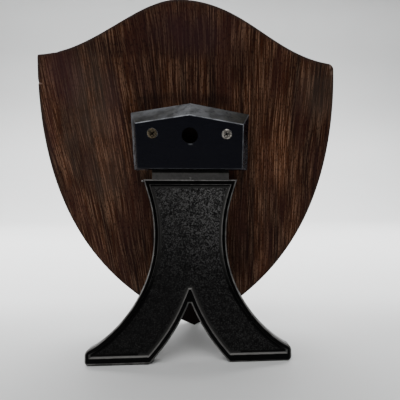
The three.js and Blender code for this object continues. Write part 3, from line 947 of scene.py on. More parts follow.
def screw_material(name, tone, dirt_and_shade, roughness):
    """Plated steel, dull and darker where it is tarnished, with a darker ring on its head and grime
    and painted shade in its cross.
    """
    material, tree, shader, coordinates = new_material(name)
    tarnish = remapped(tree, noise(tree, coordinates, 900.0, 3.0, 0.6), 0.36, 0.62)
    off_ring = math_node(tree, "ABSOLUTE", math_node(tree, "SUBTRACT", mark(tree, "radial"), 0.60))
    ring = remapped(tree, off_ring, 0.16, 0.04, 0.0, 0.65)
    toned = mixed(tree, tarnish, rgba(tone), rgba(0.25 * part for part in tone))
    toned = mixed(tree, ring, toned, rgba(0.15 * part for part in tone))
    # The cross's recess is dark with grime and painted shade
    grime_and_shade = mark(tree, "dirt_and_shade")
    toned = mixed(tree, grime_and_shade, toned, rgba(dirt_and_shade))
    rough = remapped(tree, tarnish, 0.0, 1.0, roughness, roughness + 0.25)
    rough = math_node(tree, "MAXIMUM", rough, grime_and_shade)
    feed(tree, shader, {"Base Color": toned, "Roughness": rough, "Metallic": 0.9})
    bump(tree, shader, noise(tree, coordinates, 2600.0), 0.03 * MM)
    return material


def board_stretches(board, spacing):
    """The shield's outline from its tip round to the right, as three stretches."""
    right_corner = np.array(board.corner)
    left_corner = right_corner * (-1, 1)
    apex, tip = np.array(board.apex), np.array(board.tip)
    apex_right = apex + (board.apex_reach_right, 0)
    apex_left = apex - (board.apex_reach_left, 0)
    right_side = bezier(tip, board.right_belly_low, board.right_belly_high, right_corner)
    right_shoulder = bezier(right_corner, board.right_dip, apex_right, apex)
    left_shoulder = bezier(apex, apex_left, board.left_dip, left_corner)
    left_side = bezier(left_corner, board.left_belly_high, board.left_belly_low, tip)
    return [stretch(spacing, right_side), stretch(spacing, right_shoulder, left_shoulder),
            stretch(spacing, left_side)]


# Worn places on the shield's edge: where, how far each reaches and how deep it goes, in millimetres
WORN_PLACES = (
    ((-100.2, 192.6), 1.5, 1.30),
    ((-98.1, 209.7), 1.6, 0.35),
    ((-86.0, 211.6), 2.6, 0.30),
    ((98.1, 209.7), 3.2, 1.30),
)


def wear_edge(shell):
    """Presses the worn places of the edge towards the middle of the board."""
    middle = np.array((0.0, 120 * MM))
    worn_depth = 9 * MM
    points = np.array(shell.points)
    for place_in_mm, reach, depth in WORN_PLACES:
        spot = np.array(place_in_mm) * MM
        away = np.linalg.norm(points[:, :2] - spot, axis=1)
        pressed = np.clip(1 - away / (reach * MM), 0, 1) ** 1.5
        fade = np.clip(1 + points[:, 2] / worn_depth, 0, 1)
        inward = (middle - spot) / np.linalg.norm(middle - spot)
        points[:, :2] += inward * (pressed * fade * depth * MM)[:, None]
    shell.points = [tuple(point) for point in points]


def build_board(board, screws, bracket):
    """The wooden shield, with the cove round its front, pilot holes and worn places."""
    front, step, soft = -board.thickness, board.moulding_step, 0.25 * MM
    width, depth = board.moulding_width, board.moulding_depth
    # Each level: inset, height and how much its edge greys, from worn finish with painted shade and
    # highlight
    levels = [(width + 2 * MM, front, 0.0), (width + soft, front, 0.4),
              (width, front + soft, 0.8), (width, front + step, 0.8)]
    levels += [(width - (width - step) * (1 - math.cos(turn)),
                front + step + (depth - step) * math.sin(turn), 0.5)
               for turn in np.linspace(0.0, math.pi / 2, 13)[1:]]
    levels += [(soft, front + depth, 0.9), (0.0, front + depth + soft, 1.0),
               (0.0, front + depth + 2 * soft, 1.0), (0.0, front + depth + MM, 0.3),
               (0.0, -board.edge_round - MM, 0.3)]
    levels += [(inwards, -drop, 1.0) for inwards, drop in rounding(board.edge_round)]
    levels += [(board.edge_round + beyond * MM, 0.0, worn)
               for beyond, worn in ((0.35, 0.75), (0.8, 0.35), (1.6, 0.08), (3.0, 0.0))]
    outline = board_stretches(board, 0.9 * MM)
    shell = Shell("edge")
    rings = [shell.ring(closed(inset(outline, [inwards] * len(outline))), height, worn)
             for inwards, height, worn in levels]
    shell.skin(rings)
    shell.fill(rings[0], facing=-1)
    shell.fill(rings[-1])
    wear_edge(shell)

    turned = Matrix.Rotation(-board.turn, 4, "Z")
    ease = board.edge_round * math.tan(BOARD_LEAN) * 0.7
    moved = Matrix.Translation((board.shift, board.tip[0] * math.sin(board.turn) - ease, 0))
    piece = shell.build("walnut_shield", board_frame() @ moved @ turned)
    bore, deep = screws.shank_radius + bracket.clearance, screws.depth_in_board + MM
    for side in (-1, 1):
        centre = (side * screws.spacing / 2, screws.height)
        pilot = lathe([(bore, -deep), (bore, MM)], centre, board_frame(), 32)
        carve(piece, pilot, "DIFFERENCE")
    return smooth(piece, 38)


def house_corners(bracket, height, width=0.0):
    """The bracket's five corners at a height over the board, moved inwards."""
    share_up = height / bracket.depth

    def at(name):
        low, high = getattr(bracket, "base_" + name), getattr(bracket, "face_" + name)
        return low + (high - low) * share_up

    half = at("half_width")
    corners = np.array(((-half, at("bottom")), (half, at("bottom")), (half, at("shoulder")),
                        (0.0, at("apex")), (-half, at("shoulder"))))
    if width == 0.0:
        return corners
    return polygon_inset(corners, width)


def house_line(bracket, height, width, radius):
    """The bracket's outline at a height, with its round corners."""
    return rounded_polygon(house_corners(bracket, height, width), radius)


def tongue_block(leg, bottom, grow):
    """A block round the leg's tongue in the leg's own frame, grown on every side but the bottom."""
    half = leg.tongue_half_width + grow
    back = -leg.tongue_set_back - leg.tongue_thickness - grow
    outline = rectangle((-half, bottom), (half, leg.tongue_top + grow))
    return prism([(outline, back), (outline, -leg.tongue_set_back + grow)], leg_frame(leg))


def mark_arrises(piece, bracket):
    """Marks the bracket's round arrises, worn pale by handling and given a painted highlight."""
    inverse = board_frame().inverted()
    flat, faint, along_arris = 0.04 * MM, 0.25, 0.45 * MM
    attribute = piece.data.attributes.new("wear_and_highlight", "FLOAT", "POINT")
    for vertex, worn in zip(piece.data.vertices, attribute.data):
        x, y, height = inverse @ vertex.co
        drop = bracket.depth - height
        corners = house_corners(bracket, min(height, bracket.depth))
        away = np.linalg.norm(corners - (x, y), axis=1).min()
        # The upright corners are worn pale and carry a painted highlight, and on the left as seen
        # from behind the foot too
        upright = 1.6 - away / along_arris
        if drop < flat or height < 0.0:
            upright = 0.0
        if height < 0.6 * MM and x < -bracket.face_half_width:
            upright = 1.2
        at_hole = abs(x) <= 14 * MM and 140 * MM <= y <= 170 * MM
        # So is the round edge of the face, most along its top, but not the lip of its hole
        rounded = flat < drop < along_arris and not at_hole
        round_mark = (1.0 if y > 160 * MM else faint) * rounded
        fall = max(0.0, min(bracket.edge_round, drop))
        width = bracket.edge_round - math.sqrt(fall * (2 * bracket.edge_round - fall))
        # The left wall's edge gets a painted light, less and less towards the face
        if x < corners[:, 0].min() + width + 0.2 * MM:
            upright = 2.2 * (1.0 - height / bracket.depth)
            round_mark = 0.0
        worn.value = max(0.0, min(1.0, max(upright * 0.4, round_mark)))


def build_bracket(bracket, leg, screws):
    """The hollow housing with its socket, screw bosses, seats and hanging hole."""
    matrix = board_frame()
    radius, gap = bracket.corner_round, bracket.clearance
    soft = 0.25 * MM
    levels = [(house_line(bracket, gap, soft, radius - soft), gap),
              (house_line(bracket, gap + soft, 0.0, radius), gap + soft)]
    for width, drop in rounding(bracket.edge_round, 6):
        height = bracket.depth - drop
        levels.append((house_line(bracket, height, width, radius - width), height))
    housing = prism(levels, matrix, "bracket_housing")
    hollow_top = bracket.depth - bracket.face_wall
    hollow = [(house_line(bracket, height, bracket.wall, 0.4 * MM), height)
              for height in (-MM, hollow_top)]
    carve(housing, prism(hollow, matrix), "DIFFERENCE")
    overlap = 0.5 * MM
    room = [(house_line(bracket, height, bracket.wall - overlap, 0.5 * MM), height)
            for height in (gap, hollow_top + overlap)]
    socket = tongue_block(leg, leg.height + leg.socket_drop, gap + leg.socket_wall)
    carve(housing, carve(socket, prism(room, matrix), "INTERSECT"), "UNION")
    places = [(side * screws.spacing / 2, screws.height) for side in (-1, 1)]
    for centre in places:
        boss = [(bracket.boss_radius, gap), (bracket.boss_radius, hollow_top + overlap)]
        carve(housing, lathe(boss, centre, matrix), "UNION")
    carve(housing, tongue_block(leg, leg.height, gap), "DIFFERENCE")
    hole, top = (0.0, bracket.hole_height), bracket.depth
    lip = [(bracket.hole_radius + bracket.hole_round - drop, top - rise)
           for rise, drop in reversed(rounding(bracket.hole_round, 5))]
    lip = [(bracket.hole_radius, hollow_top - overlap)] + lip
    lip.append((bracket.hole_radius + bracket.hole_round, top + MM))
    carve(housing, lathe(lip, hole, matrix, 96), "DIFFERENCE")
    for centre in places:
        bore = screws.shank_radius + gap
        seat = [(bore, -MM), (bore, top - screws.head_cone - gap),
                (screws.head_radius + gap, top - 0.15 * MM),
                (screws.head_radius + 2 * gap, top + MM)]
        carve(housing, lathe(seat, centre, matrix, 48), "DIFFERENCE")
    mark_arrises(housing, bracket)
    return smooth(housing, 30)


def leg_stretches(leg, spacing, rounded):
    """The leg's outline from the notch's right foot round, with each stretch's rim width."""
    reach, slope = leg.foot_reach, leg.foot_top_slope
    low_radius, high_radius = leg.foot_bottom_radius, leg.foot_top_radius
    high_centre = (reach - high_radius, leg.foot_top_height)
    upper_round = arc(high_centre, high_radius, 0, math.pi / 2 - slope)
    flank_start = upper_round[-1]
    low_centre = (reach - low_radius, low_radius)
    lower_round = arc(low_centre, low_radius, -math.pi / 2, 0)
    waist = np.array(leg.waist)
    flank = (bezier(flank_start, leg.foot_bend, (waist[0], leg.waist_bend_low), waist),
             bezier(waist, (waist[0], leg.waist_bend_high), leg.shoulder_bend,
                    (leg.top_half_width, leg.height)))
    notch = stretch(spacing, bezier(leg.notch_top, leg.notch_bend, (leg.notch_foot, 0)))
    top = stretch(spacing, np.array(((leg.top_half_width, leg.height),
                                     (-leg.top_half_width, leg.height))))
    sole_start = np.array(((leg.notch_foot, 0.0),))
    if rounded:
        side = stretch(spacing, np.vstack((sole_start, lower_round[:1])), lower_round,
                       np.vstack((lower_round[-1:], upper_round[:1])), upper_round, *flank)
        right = [(notch, leg.notch_rim), (side, leg.flank_rim)]
    else:
        square_top = flank_start[1] - (reach - flank_start[0]) * math.tan(slope)
        sole = stretch(spacing, np.vstack((sole_start, ((reach, 0.0),))))
        end = stretch(spacing, np.array(((reach, 0.0), (reach, square_top))))
        side = stretch(spacing, np.array(((reach, square_top), flank_start)), *flank)
        right = [(notch, leg.notch_rim), (sole, leg.foot_rim), (end, leg.flank_rim),
                 (side, leg.flank_rim)]
    left = [(mirrored(line), rim) for line, rim in reversed(right)]
    crown = stretch(spacing, np.array((left[-1][0][-1], notch[0])))
    parts = right + [(top, leg.top_rim)] + left + [(crown, leg.notch_top_rim)]
    return [line for line, _ in parts], [rim for _, rim in parts]


def points_inside(line, spacing, margin):
    """A hexagonal net of points inside a closed line, clear of it by a margin."""
    edge_tree = KDTree(len(line))
    for index, point in enumerate(line):
        edge_tree.insert((*point, 0.0), index)
    edge_tree.balance()
    following = np.roll(line, -1, axis=0)
    found = []
    row_step = spacing * math.sqrt(3) / 2
    rows = np.arange(line[:, 1].min() + row_step / 2, line[:, 1].max(), row_step)
    for number, y in enumerate(rows):
        crossed = (line[:, 1] > y) != (following[:, 1] > y)
        a, b = line[crossed], following[crossed]
        cuts = np.sort(a[:, 0] + (y - a[:, 1]) / (b[:, 1] - a[:, 1]) * (b[:, 0] - a[:, 0]))
        offset = spacing / 2 * (number % 2)
        for low, high in zip(cuts[::2], cuts[1::2]):
            first = math.ceil((low - offset) / spacing) * spacing + offset
            for x in np.arange(first, high, spacing):
                distance = edge_tree.find((x, y, 0.0))[2]
                if distance > margin:
                    found.append((x, y, distance))
    return np.array(found)


def mark_rim(shell, indices, inner):
    """Fades the inner arris's worn paleness and painted highlight down the feet's outer flanks and
    makes the outer one brighter.
    """
    notch_top, between_arrises, spread = 52 * MM, 11 * MM, 0.69
    over_foot, brightest = 6 * MM, 48 * MM
    for index in indices:
        x, y = shell.points[index][:2]
        beside = (abs(x) - between_arrises - spread * (notch_top - y)) / (2 * MM)
        flank = np.clip(beside + 0.5, 0, 1) * np.clip((y - over_foot) / (4 * MM), 0, 1)
        kept = 1 + 0.7 * flank * math.exp(-((y - brightest) / (14 * MM)) ** 2)
        if inner:
            faded = np.clip((80 * MM - y) / (35 * MM), 0, 0.95)
            kept = 1 - flank * max(faded, 0.5 * (x < 0))
        stippled, worn, sloped = shell.marks[index]
        shell.marks[index] = (stippled, worn * kept, sloped * kept)


def add_leg_body(shell, leg):
    """The leg's back, sides and round front edge; gives the ring where its front begins."""
    levels = [(width, drop - leg.thickness, 0.0)
              for width, drop in reversed(rounding(leg.back_round, 3))]
    # Worn paleness with a painted highlight across the front rounding, strongest partway round
    worn_and_highlit_round = (0.0, 0.0, 0.2, 0.8, 1.0, 0.5, 0.0)
    levels += [(width, -drop, worn)
               for (width, drop), worn in zip(rounding(leg.edge_round, 6), worn_and_highlit_round)]
    outline, _ = leg_stretches(leg, 0.5 * MM, True)
    rings = []
    for width, height, worn in levels:
        line = closed(inset(outline, [width] * len(outline)))
        rings.append(shell.ring(line, height, 0.0, worn, 0.0))
        mark_rim(shell, rings[-1], False)
    shell.skin(rings)
    shell.fill(rings[0], facing=-1)
    return rings[-1]


def add_panel_wall(shell, leg, front):
    """The rim's flat and the sunk panel's sloping wall; gives the ring round its floor."""
    lip, depth, draft = 0.22 * MM, leg.panel_depth, leg.panel_draft
    # Each level: inset, height, worn paleness with a painted highlight, and the wall mark for painted
    # sheen
    levels = ((-1.3 * lip, 0.0, 0.0, 0.0), (-0.9 * lip, 0.0, 0.7, 0.0),
              (-0.3 * lip, -0.15 * lip, 1.0, 0.0), (0.25 * lip, -lip, 0.3, 1.0),
              (draft - 0.3 * lip, -depth + 1.2 * lip, 0.0, 1.0),
              (draft + 0.3 * lip, -depth + 0.3 * lip, 0.0, 1.0),
              (draft + 1.4 * lip, -depth, 0.0, 0.3))
    square, rims = leg_stretches(leg, 0.45 * MM, False)
    rings = []
    for extra, height, worn, sloped in levels:
        line = closed(inset(square, [rim + extra for rim in rims]))
        rings.append(shell.ring(line, height, 0.0, worn, sloped))
        mark_rim(shell, rings[-1], True)
    shell.fill(front, hole=rings[0])
    shell.skin(rings)
    return rings[-1]


def add_panel_floor(shell, leg, edge):
    """The panel's floor, with points close enough together for its pebbles."""
    line = np.array([shell.points[i][:2] for i in edge])
    start = len(shell.points)
    x, y, away = points_inside(line, leg.pebble_size / 3, 0.3 * MM).T
    shell.points += [(one, other, -leg.panel_depth) for one, other in zip(x, y)]
    # The floor near its walls carries the wall mark for a painted sheen, most high up and beside the
    # notch
    beside_notch = np.abs(x) < 14 * MM + 0.6 * np.maximum(0, 40 * MM - y)
    weight = np.maximum(np.clip((y - 50 * MM) / (40 * MM), 0, 1), 0.7 * beside_notch)
    stipple = np.clip((away - 0.9 * MM) / (0.6 * MM), 0, 1)
    paler = np.clip(0.8 - away / (2.2 * MM), 0, 1) * weight
    shell.marks += [(stippled, 0.0, pale) for stippled, pale in zip(stipple, paler)]
    shell.fill(edge, inner=np.arange(start, len(shell.points)))


def leg_tongue(leg, matrix):
    """The flat tongue with its softened edges, reaching a little into the leg."""
    soft, half = 0.3 * MM, leg.tongue_half_width
    front, bottom = -leg.tongue_set_back, leg.height - 2 * MM
    levels = [(rectangle((-half + width, bottom + width), (half - width, leg.tongue_top - width)),
               drop) for width, drop in ((soft, 0.0), (0.3 * soft, 0.3 * soft), (0.0, soft))]
    solid = [(line, front - leg.tongue_thickness + drop) for line, drop in levels]
    solid += [(line, front - drop) for line, drop in reversed(levels)]
    return prism(solid, matrix)


def add_fleck(piece, leg, matrix, centre, radius, height):
    """A small ball moulded onto the leg, with a painted highlight where it stands out."""
    turns = np.linspace(-1.45, 1.45, 11)
    ball = [(radius * math.cos(turn), height + radius * math.sin(turn)) for turn in turns]
    carve(piece, lathe(ball, centre, matrix, 20), "UNION")
    inverse, marks = matrix.inverted(), piece.data.attributes
    for vertex, worn, sloped in zip(piece.data.vertices, marks["wear_and_highlight"].data, marks["wall"].data):
        x, y, z = inverse @ vertex.co
        stands_out = z > height + 0.2 * MM or x < -leg.top_half_width - 0.1 * MM
        if stands_out and math.hypot(x - centre[0], y - centre[1]) < 1.02 * radius:
            worn.value = 2.5
            sloped.value = 1.0


def build_leg(leg):
    """The wishbone leg with its rim, its stippled panel, tongue and nub."""
    shell = Shell("stipple", "wear_and_highlight", "wall")
    front = add_leg_body(shell, leg)
    floor_edge = add_panel_wall(shell, leg, front)
    add_panel_floor(shell, leg, floor_edge)
    matrix = leg_frame(leg)
    piece = shell.build("easel_leg_moulding", matrix)
    for vertex in piece.data.vertices:
        vertex.co.z = max(vertex.co.z, 0.0)
    carve(piece, leg_tongue(leg, matrix), "UNION")
    add_fleck(piece, leg, matrix, (0.0, leg.height + leg.nub_radius), leg.nub_radius,
              -leg.tongue_set_back)
    corner = (-leg.top_half_width - 0.5 * MM, leg.height - 1.3 * MM)
    add_fleck(piece, leg, matrix, corner, 0.75 * MM, -MM)
    return piece


def geometry_tree(name, inputs):
    """An empty Geometry Nodes tree with named inputs."""
    tree = bpy.data.node_groups.new(name, "GeometryNodeTree")
    for socket_name, kind in inputs:
        tree.interface.new_socket(socket_name, in_out="INPUT", socket_type=kind)
    tree.interface.new_socket("Geometry", in_out="OUTPUT", socket_type="NodeSocketGeometry")
    given = tree.nodes.new("NodeGroupInput").outputs
    wanted = tree.nodes.new("NodeGroupOutput").inputs
    return tree, given, wanted


def marked_points(tree, geometry, name, value):
    """A mesh whose points carry a mark for its material."""
    return add_node(tree, "GeometryNodeStoreNamedAttribute",
                    {"Geometry": geometry, "Name": name, "Value": value},
                    data_type="FLOAT", domain="POINT").outputs[0]


def end_tree(tree, geometry, material, wanted):
    """Closes a tree with real meshes that carry their material."""
    real = add_node(tree, "GeometryNodeRealizeInstances", {"Geometry": geometry}).outputs[0]
    dressed = add_node(tree, "GeometryNodeSetMaterial", {"Geometry": real, "Material": material})
    tree.links.new(dressed.outputs[0], wanted["Geometry"])


def apply_tree(piece, tree, values):
    """Runs a tree on a piece with the given inputs and keeps the plain mesh."""
    modifier = piece.modifiers.new(tree.name, "NODES")
    modifier.node_group = tree
    identifiers = {item.name: item.identifier for item in tree.interface.items_tree
                   if item.in_out == "INPUT"}
    for name, value in values.items():
        modifier[identifiers[name]] = value
    bpy.context.view_layer.update()
    return baked(piece)


def build_pebble_tree():
    """Pebbles raised out of a surface where its stipple attribute says so."""
    tree, given, wanted = geometry_tree("pebbles", [
        ("Geometry", "NodeSocketGeometry"), ("Size", "NodeSocketFloat"),
        ("Height", "NodeSocketFloat"), ("Outward", "NodeSocketVector"),
        ("Seed", "NodeSocketInt"), ("Material", "NodeSocketMaterial")])
    position = tree.nodes.new("GeometryNodeInputPosition").outputs[0]
    mask = add_node(tree, "GeometryNodeInputNamedAttribute", {"Name": "stipple"},
                    data_type="FLOAT").outputs["Attribute"]
    scale = math_node(tree, "DIVIDE", 1.0, given["Size"])
    shifted = add_node(tree, "ShaderNodeCombineXYZ", {"X": given["Seed"]}).outputs[0]
    sampled = vector_node(tree, "ADD", position, shifted)
    cells = add_node(tree, "ShaderNodeTexVoronoi",
                     {"Vector": sampled, "Scale": scale, "Randomness": 0.9},
                     voronoi_dimensions="3D", feature="F1").outputs["Distance"]
    dome = remapped(tree, cells, 0.75, 0.15)
    cluster = noise(tree, sampled, product(tree, scale, 0.6), 1.0)
    peak = product(tree, dome, remapped(tree, cluster, 0.3, 0.6, 0.5, 1.0), mask)
    rise = product(tree, peak, given["Height"])
    marked = marked_points(tree, given["Geometry"], "peak", peak)
    offset = add_node(tree, "ShaderNodeVectorMath", {0: given["Outward"], "Scale": rise},
                      operation="SCALE").outputs["Vector"]
    moved = add_node(tree, "GeometryNodeSetPosition",
                     {"Geometry": marked, "Offset": offset}).outputs[0]
    end_tree(tree, moved, given["Material"], wanted)
    return tree


def build_screw_tree():
    """A countersunk screw with a domed head and a cross in it."""
    tree, given, wanted = geometry_tree("cross_screw", [
        ("Head Radius", "NodeSocketFloat"), ("Head Rise", "NodeSocketFloat"),
        ("Head Cone", "NodeSocketFloat"), ("Shank Radius", "NodeSocketFloat"),
        ("Length", "NodeSocketFloat"), ("Slot Size", "NodeSocketVector"),
        ("Cross Turn", "NodeSocketFloat"), ("Place", "NodeSocketVector"),
        ("Tilt", "NodeSocketVector"), ("Material", "NodeSocketMaterial")])

    def moved(geometry, **inputs):
        return add_node(tree, "GeometryNodeTransform", {"Geometry": geometry, **inputs}).outputs[0]

    def upright(height):
        return add_node(tree, "ShaderNodeCombineXYZ", {"Z": height}).outputs[0]

    def cone(top, bottom, depth):
        return add_node(tree, "GeometryNodeMeshCone",
                        {"Vertices": 48, "Radius Top": top, "Radius Bottom": bottom,
                         "Depth": depth}).outputs["Mesh"]

    ball = add_node(tree, "GeometryNodeMeshUVSphere",
                    {"Segments": 48, "Rings": 24, "Radius": 1.0}).outputs["Mesh"]
    flatness = add_node(tree, "ShaderNodeCombineXYZ",
                        {"X": given["Head Radius"], "Y": given["Head Radius"],
                         "Z": given["Head Rise"]}).outputs[0]
    dome = moved(ball, Scale=flatness)
    head_radius, shank_radius = given["Head Radius"], given["Shank Radius"]
    tip_length = product(tree, shank_radius, 2.0)
    shank_length = math_node(tree, "SUBTRACT", given["Length"], tip_length)
    head, shank, tip = (
        moved(cone(top, bottom, depth), Translation=upright(product(tree, lowest, -1.0)))
        for top, bottom, depth, lowest in (
            (head_radius, shank_radius, given["Head Cone"], given["Head Cone"]),
            (shank_radius, shank_radius, shank_length, shank_length),
            (shank_radius, 0.2 * MM, tip_length, given["Length"])))
    union = add_node(tree, "GeometryNodeMeshBoolean", operation="UNION", solver="EXACT")
    for part in (dome, head, shank, tip):
        tree.links.new(part, union.inputs["Mesh 2"])
    bar = add_node(tree, "GeometryNodeMeshCube", {"Size": given["Slot Size"]}).outputs["Mesh"]
    stations = add_node(tree, "GeometryNodeMeshLine",
                        {"Count": 2, "Start Location": upright(given["Head Rise"]),
                         "Offset": (0.0, 0.0, 0.0)}).outputs["Mesh"]
    index = tree.nodes.new("GeometryNodeInputIndex").outputs[0]
    quarter = math_node(tree, "MULTIPLY_ADD", index, math.pi / 2, given["Cross Turn"])
    bars = add_node(tree, "GeometryNodeInstanceOnPoints",
                    {"Points": stations, "Instance": bar,
                     "Rotation": upright(quarter)}).outputs["Instances"]
    cross = add_node(tree, "GeometryNodeRealizeInstances", {"Geometry": bars}).outputs[0]
    cut = add_node(tree, "GeometryNodeMeshBoolean", {"Mesh 1": union.outputs["Mesh"]},
                   operation="DIFFERENCE", solver="EXACT")
    cut.inputs["Self Intersection"].default_value = True
    tree.links.new(cross, cut.inputs["Mesh 2"])
    spot = tree.nodes.new("GeometryNodeInputPosition").outputs[0]
    x, y, z = add_node(tree, "ShaderNodeSeparateXYZ", {"Vector": spot}).outputs
    flattened = add_node(tree, "ShaderNodeCombineXYZ", {"X": x, "Y": y}).outputs[0]
    radius = vector_node(tree, "LENGTH", flattened)
    # Marks the cross's recess for grime and painted shade, and each point's distance from the axis
    inside = math_node(tree, "LESS_THAN", radius, product(tree, head_radius, 0.42))
    sunk = math_node(tree, "LESS_THAN", z, product(tree, given["Head Rise"], 0.4))
    marked = marked_points(tree, cut.outputs["Mesh"], "dirt_and_shade", product(tree, inside, sunk))
    marked = marked_points(tree, marked, "radial", math_node(tree, "DIVIDE", radius, head_radius))
    standing = moved(marked, Translation=given["Place"], Rotation=given["Tilt"])
    end_tree(tree, standing, given["Material"], wanted)
    return tree


def build_screw(name, tree, screws, bracket, side, cross_turn, material):
    """One screw from the tree, in its place on the board."""
    mesh = bpy.data.meshes.new(name)
    piece = bpy.data.objects.new(name, mesh)
    bpy.context.scene.collection.objects.link(piece)
    matrix = board_frame()
    centre = matrix @ Vector((side * screws.spacing / 2, screws.height, bracket.depth))
    apply_tree(piece, tree, {
        "Head Radius": screws.head_radius, "Head Rise": screws.head_rise,
        "Head Cone": screws.head_cone, "Shank Radius": screws.shank_radius,
        "Length": bracket.depth + screws.depth_in_board,
        "Slot Size": (screws.cross_reach, screws.cross_width, 2 * screws.cross_depth),
        "Cross Turn": cross_turn, "Place": centre, "Tilt": Vector(matrix.to_euler()),
        "Material": material})
    return smooth(piece, 32)


def build_sweep(floor_colour):
    """A pale floor that curves up behind the plaque, with painted shade on the floor under the
    plaque's back and out from it, and painted light and shade up the backdrop.
    """
    front, bend_at, bend_radius, height, half_width = 1.5, -0.75, 0.45, 1.9, 2.4
    shaded_part = 0.66
    profile = [(front, 0.0)]
    profile += [(bend_at - bend_radius * math.sin(turn), bend_radius * (1 - math.cos(turn)))
                for turn in np.linspace(0.0, math.pi / 2, 25)]
    profile.append((bend_at - bend_radius, height))
    points = [(x, y, z) for y, z in profile for x in (half_width, -half_width)]
    faces = [(2 * i, 2 * i + 1, 2 * i + 3, 2 * i + 2) for i in range(len(profile) - 1)]
    mesh = bpy.data.meshes.new("sweep")
    mesh.from_pydata(points, [], faces)
    mesh.shade_smooth()
    sweep = bpy.data.objects.new("sweep", mesh)
    bpy.context.scene.collection.objects.link(sweep)
    material, tree, shader, coordinates = new_material("sweep_paper")
    split = add_node(tree, "ShaderNodeSeparateXYZ", {"Vector": coordinates})
    back, above = split.outputs[1], split.outputs[2]
    # Painted shade on the floor under the plaque's back and out from it, paler farther behind
    shade = rgba(shaded_part * part for part in floor_colour)
    toned = mixed(tree, remapped(tree, back, 0.015, -0.11), shade, rgba(floor_colour))
    worn = remapped(tree, noise(tree, coordinates, 3.0), 0.3, 0.7, 0.97, 1.0)
    # Painted shade partway up the backdrop, a little brighter again at its top
    painted_backdrop_light = math_node(tree, "MAXIMUM", remapped(tree, above, 0.20, 0.48, 1.0, 0.72),
                       remapped(tree, above, 0.60, 0.85, 0.72, 1.05))
    toned = mixed(tree, 1.0, toned, product(tree, worn, painted_backdrop_light), "MULTIPLY")
    feed(tree, shader, {"Base Color": toned, "Roughness": 0.6})
    mesh.materials.append(material)


def build_room(stage):
    """Faint light from all round, in front of walls that look pale to the camera."""
    world = bpy.data.worlds.new("soft_room")
    world.use_nodes = True
    tree = world.node_tree
    ambient = tree.nodes["Background"]
    feed(tree, ambient, {"Color": (1.0, 1.0, 1.0, 1.0), "Strength": stage.sky})
    walls = add_node(tree, "ShaderNodeBackground",
                     {"Color": rgba(stage.floor), "Strength": stage.walls})
    seen = tree.nodes.new("ShaderNodeLightPath").outputs["Is Camera Ray"]
    both = add_node(tree, "ShaderNodeMixShader",
                    {0: seen, 1: ambient.outputs[0], 2: walls.outputs[0]})
    tree.links.new(both.outputs[0], tree.nodes["World Output"].inputs["Surface"])
    return world


def add_light(name, place_at, aim_at, size, watts):
    """A soft rectangular light."""
    light = bpy.data.lights.new(name, "AREA")
    light.shape = "RECTANGLE"
    light.size, light.size_y = size
    light.energy = watts
    lamp = bpy.data.objects.new(name, light)
    lamp.location = place_at
    lamp.rotation_euler = (Vector(aim_at) - Vector(place_at)).to_track_quat("-Z", "Y").to_euler()
    lamp.visible_camera = False
    bpy.context.scene.collection.objects.link(lamp)


def add_camera(stage):
    """The camera, level in front of the plaque's back."""
    camera = bpy.data.cameras.new("camera")
    camera.sensor_width = 36.0
    camera.lens = stage.camera_lens
    camera.shift_x, camera.shift_y = stage.camera_shift
    camera.clip_start = 0.01
    holder = bpy.data.objects.new("camera", camera)
    holder.location = stage.camera_place
    looking = Euler((math.pi / 2, 0.0, math.pi)).to_matrix()
    pan = Matrix.Rotation(-stage.camera_pan, 3, "Y")
    tilt = Matrix.Rotation(-stage.camera_tilt, 3, "X")
    roll = Matrix.Rotation(-stage.camera_roll, 3, "Z")
    holder.rotation_euler = (looking @ pan @ tilt @ roll).to_euler()
    bpy.context.scene.collection.objects.link(holder)
    bpy.context.scene.camera = holder


class OBJECT_OT_plaque_board(bpy.types.Operator):
    """Build the walnut shield"""
    bl_idname = "object.plaque_board"
    bl_label = "Walnut shield"

    def execute(self, context):
        scene = context.scene
        piece = build_board(scene.plaque_board, scene.plaque_screws, scene.plaque_bracket)
        finish_piece(piece, "shield_panel", walnut_material(scene.plaque_board))
        return {"FINISHED"}


class OBJECT_OT_plaque_bracket(bpy.types.Operator):
    """Build the hollow housing on the shield's back"""
    bl_idname = "object.plaque_bracket"
    bl_label = "Easel bracket"

    def execute(self, context):
        scene = context.scene
        piece = build_bracket(scene.plaque_bracket, scene.plaque_leg, scene.plaque_screws)
        finish_piece(piece, "easel_bracket",
                     bracket_material(scene.plaque_bracket))
        return {"FINISHED"}


class OBJECT_OT_plaque_leg(bpy.types.Operator):
    """Build the wishbone leg with its stippled panel"""
    bl_idname = "object.plaque_leg"
    bl_label = "Easel leg"

    def execute(self, context):
        leg = context.scene.plaque_leg
        piece = build_leg(leg)
        outward = leg_frame(leg).to_3x3() @ Vector((0, 0, 1))
        apply_tree(piece, build_pebble_tree(), {
            "Size": leg.pebble_size, "Height": leg.pebble_height, "Outward": outward,
            "Seed": leg.pebble_seed, "Material": leg_material(leg)})
        smooth(piece, 38)
        finish_piece(piece, "easel_leg")
        return {"FINISHED"}


class OBJECT_OT_plaque_screws(bpy.types.Operator):
    """Build both screws from one tree"""
    bl_idname = "object.plaque_screws"
    bl_label = "Screws"

    def execute(self, context):
        scene = context.scene
        screws, bracket = scene.plaque_screws, scene.plaque_bracket
        tree = build_screw_tree()
        rows = (
            ("screw_left", -1, screws.left_turn, "dull_screw", screws.brass, 0.42),
            ("screw_right", 1, screws.right_turn, "bright_screw", screws.nickel, 0.30),
        )
        for node_name, side, turn, slot, tone, roughness in rows:
            material = screw_material(slot, tone, screws.dirt_and_shade, roughness)
            piece = build_screw("cross_" + node_name, tree, screws, bracket, side, turn, material)
            finish_piece(piece, node_name)
        return {"FINISHED"}


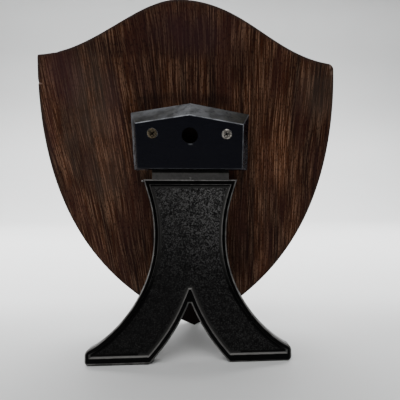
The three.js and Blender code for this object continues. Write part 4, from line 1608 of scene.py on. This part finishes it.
class OBJECT_OT_plaque_stage(bpy.types.Operator):
    """Set up the floor, the soft light and the camera"""
    bl_idname = "object.plaque_stage"
    bl_label = "Floor, light and camera"

    def execute(self, context):
        stage = context.scene.plaque_stage
        build_sweep(stage.floor)
        context.scene.world = build_room(stage)
        for light in (
                ("softbox_top", (0.1, 0.5, 0.95), (0.0, 0.0, 0.1), (1.0, 0.6), stage.top_light),
                ("softbox_left", (0.95, 0.12, 0.45), (0.0, 0.05, 0.1), (0.6, 0.7), stage.left_light),
                ("backdrop_wash", (0.08, -0.38, 0.62), (0.08, -0.62, 0.0), (2.2, 0.25),
                 stage.backdrop_light)):
            add_light(*light)
        add_camera(stage)
        return {"FINISHED"}


OPERATORS = (
    OBJECT_OT_plaque_board,
    OBJECT_OT_plaque_bracket,
    OBJECT_OT_plaque_leg,
    OBJECT_OT_plaque_screws,
    OBJECT_OT_plaque_stage,
)


class VIEW3D_PT_plaque(bpy.types.Panel):
    """Builds the plaque piece by piece"""
    bl_idname = "VIEW3D_PT_plaque"
    bl_label = "Plaque"
    bl_space_type = "VIEW_3D"
    bl_region_type = "UI"
    bl_category = "Plaque"

    def draw(self, context):
        for operator in OPERATORS:
            self.layout.operator(operator.bl_idname)
        for name, group in SETTINGS.items():
            box = self.layout.box()
            box.label(text=group.__doc__)
            for setting in group.__annotations__:
                box.prop(getattr(context.scene, name), setting)


def register():
    """Adds the settings, the operators and the panel."""
    for name, group in SETTINGS.items():
        bpy.utils.register_class(group)
        setattr(bpy.types.Scene, name, PointerProperty(type=group))
    for cls in OPERATORS + (VIEW3D_PT_plaque,):
        bpy.utils.register_class(cls)


def unregister():
    """Takes them out again."""
    for cls in reversed(OPERATORS + (VIEW3D_PT_plaque,)):
        bpy.utils.unregister_class(cls)
    for name, group in SETTINGS.items():
        delattr(bpy.types.Scene, name)
        bpy.utils.unregister_class(group)


def main():
    """Builds every piece and the stage."""
    register()
    bpy.ops.object.plaque_stage()
    bpy.ops.object.plaque_board()
    bpy.ops.object.plaque_bracket()
    bpy.ops.object.plaque_leg()
    bpy.ops.object.plaque_screws()


if __name__ == "__main__":
    main()
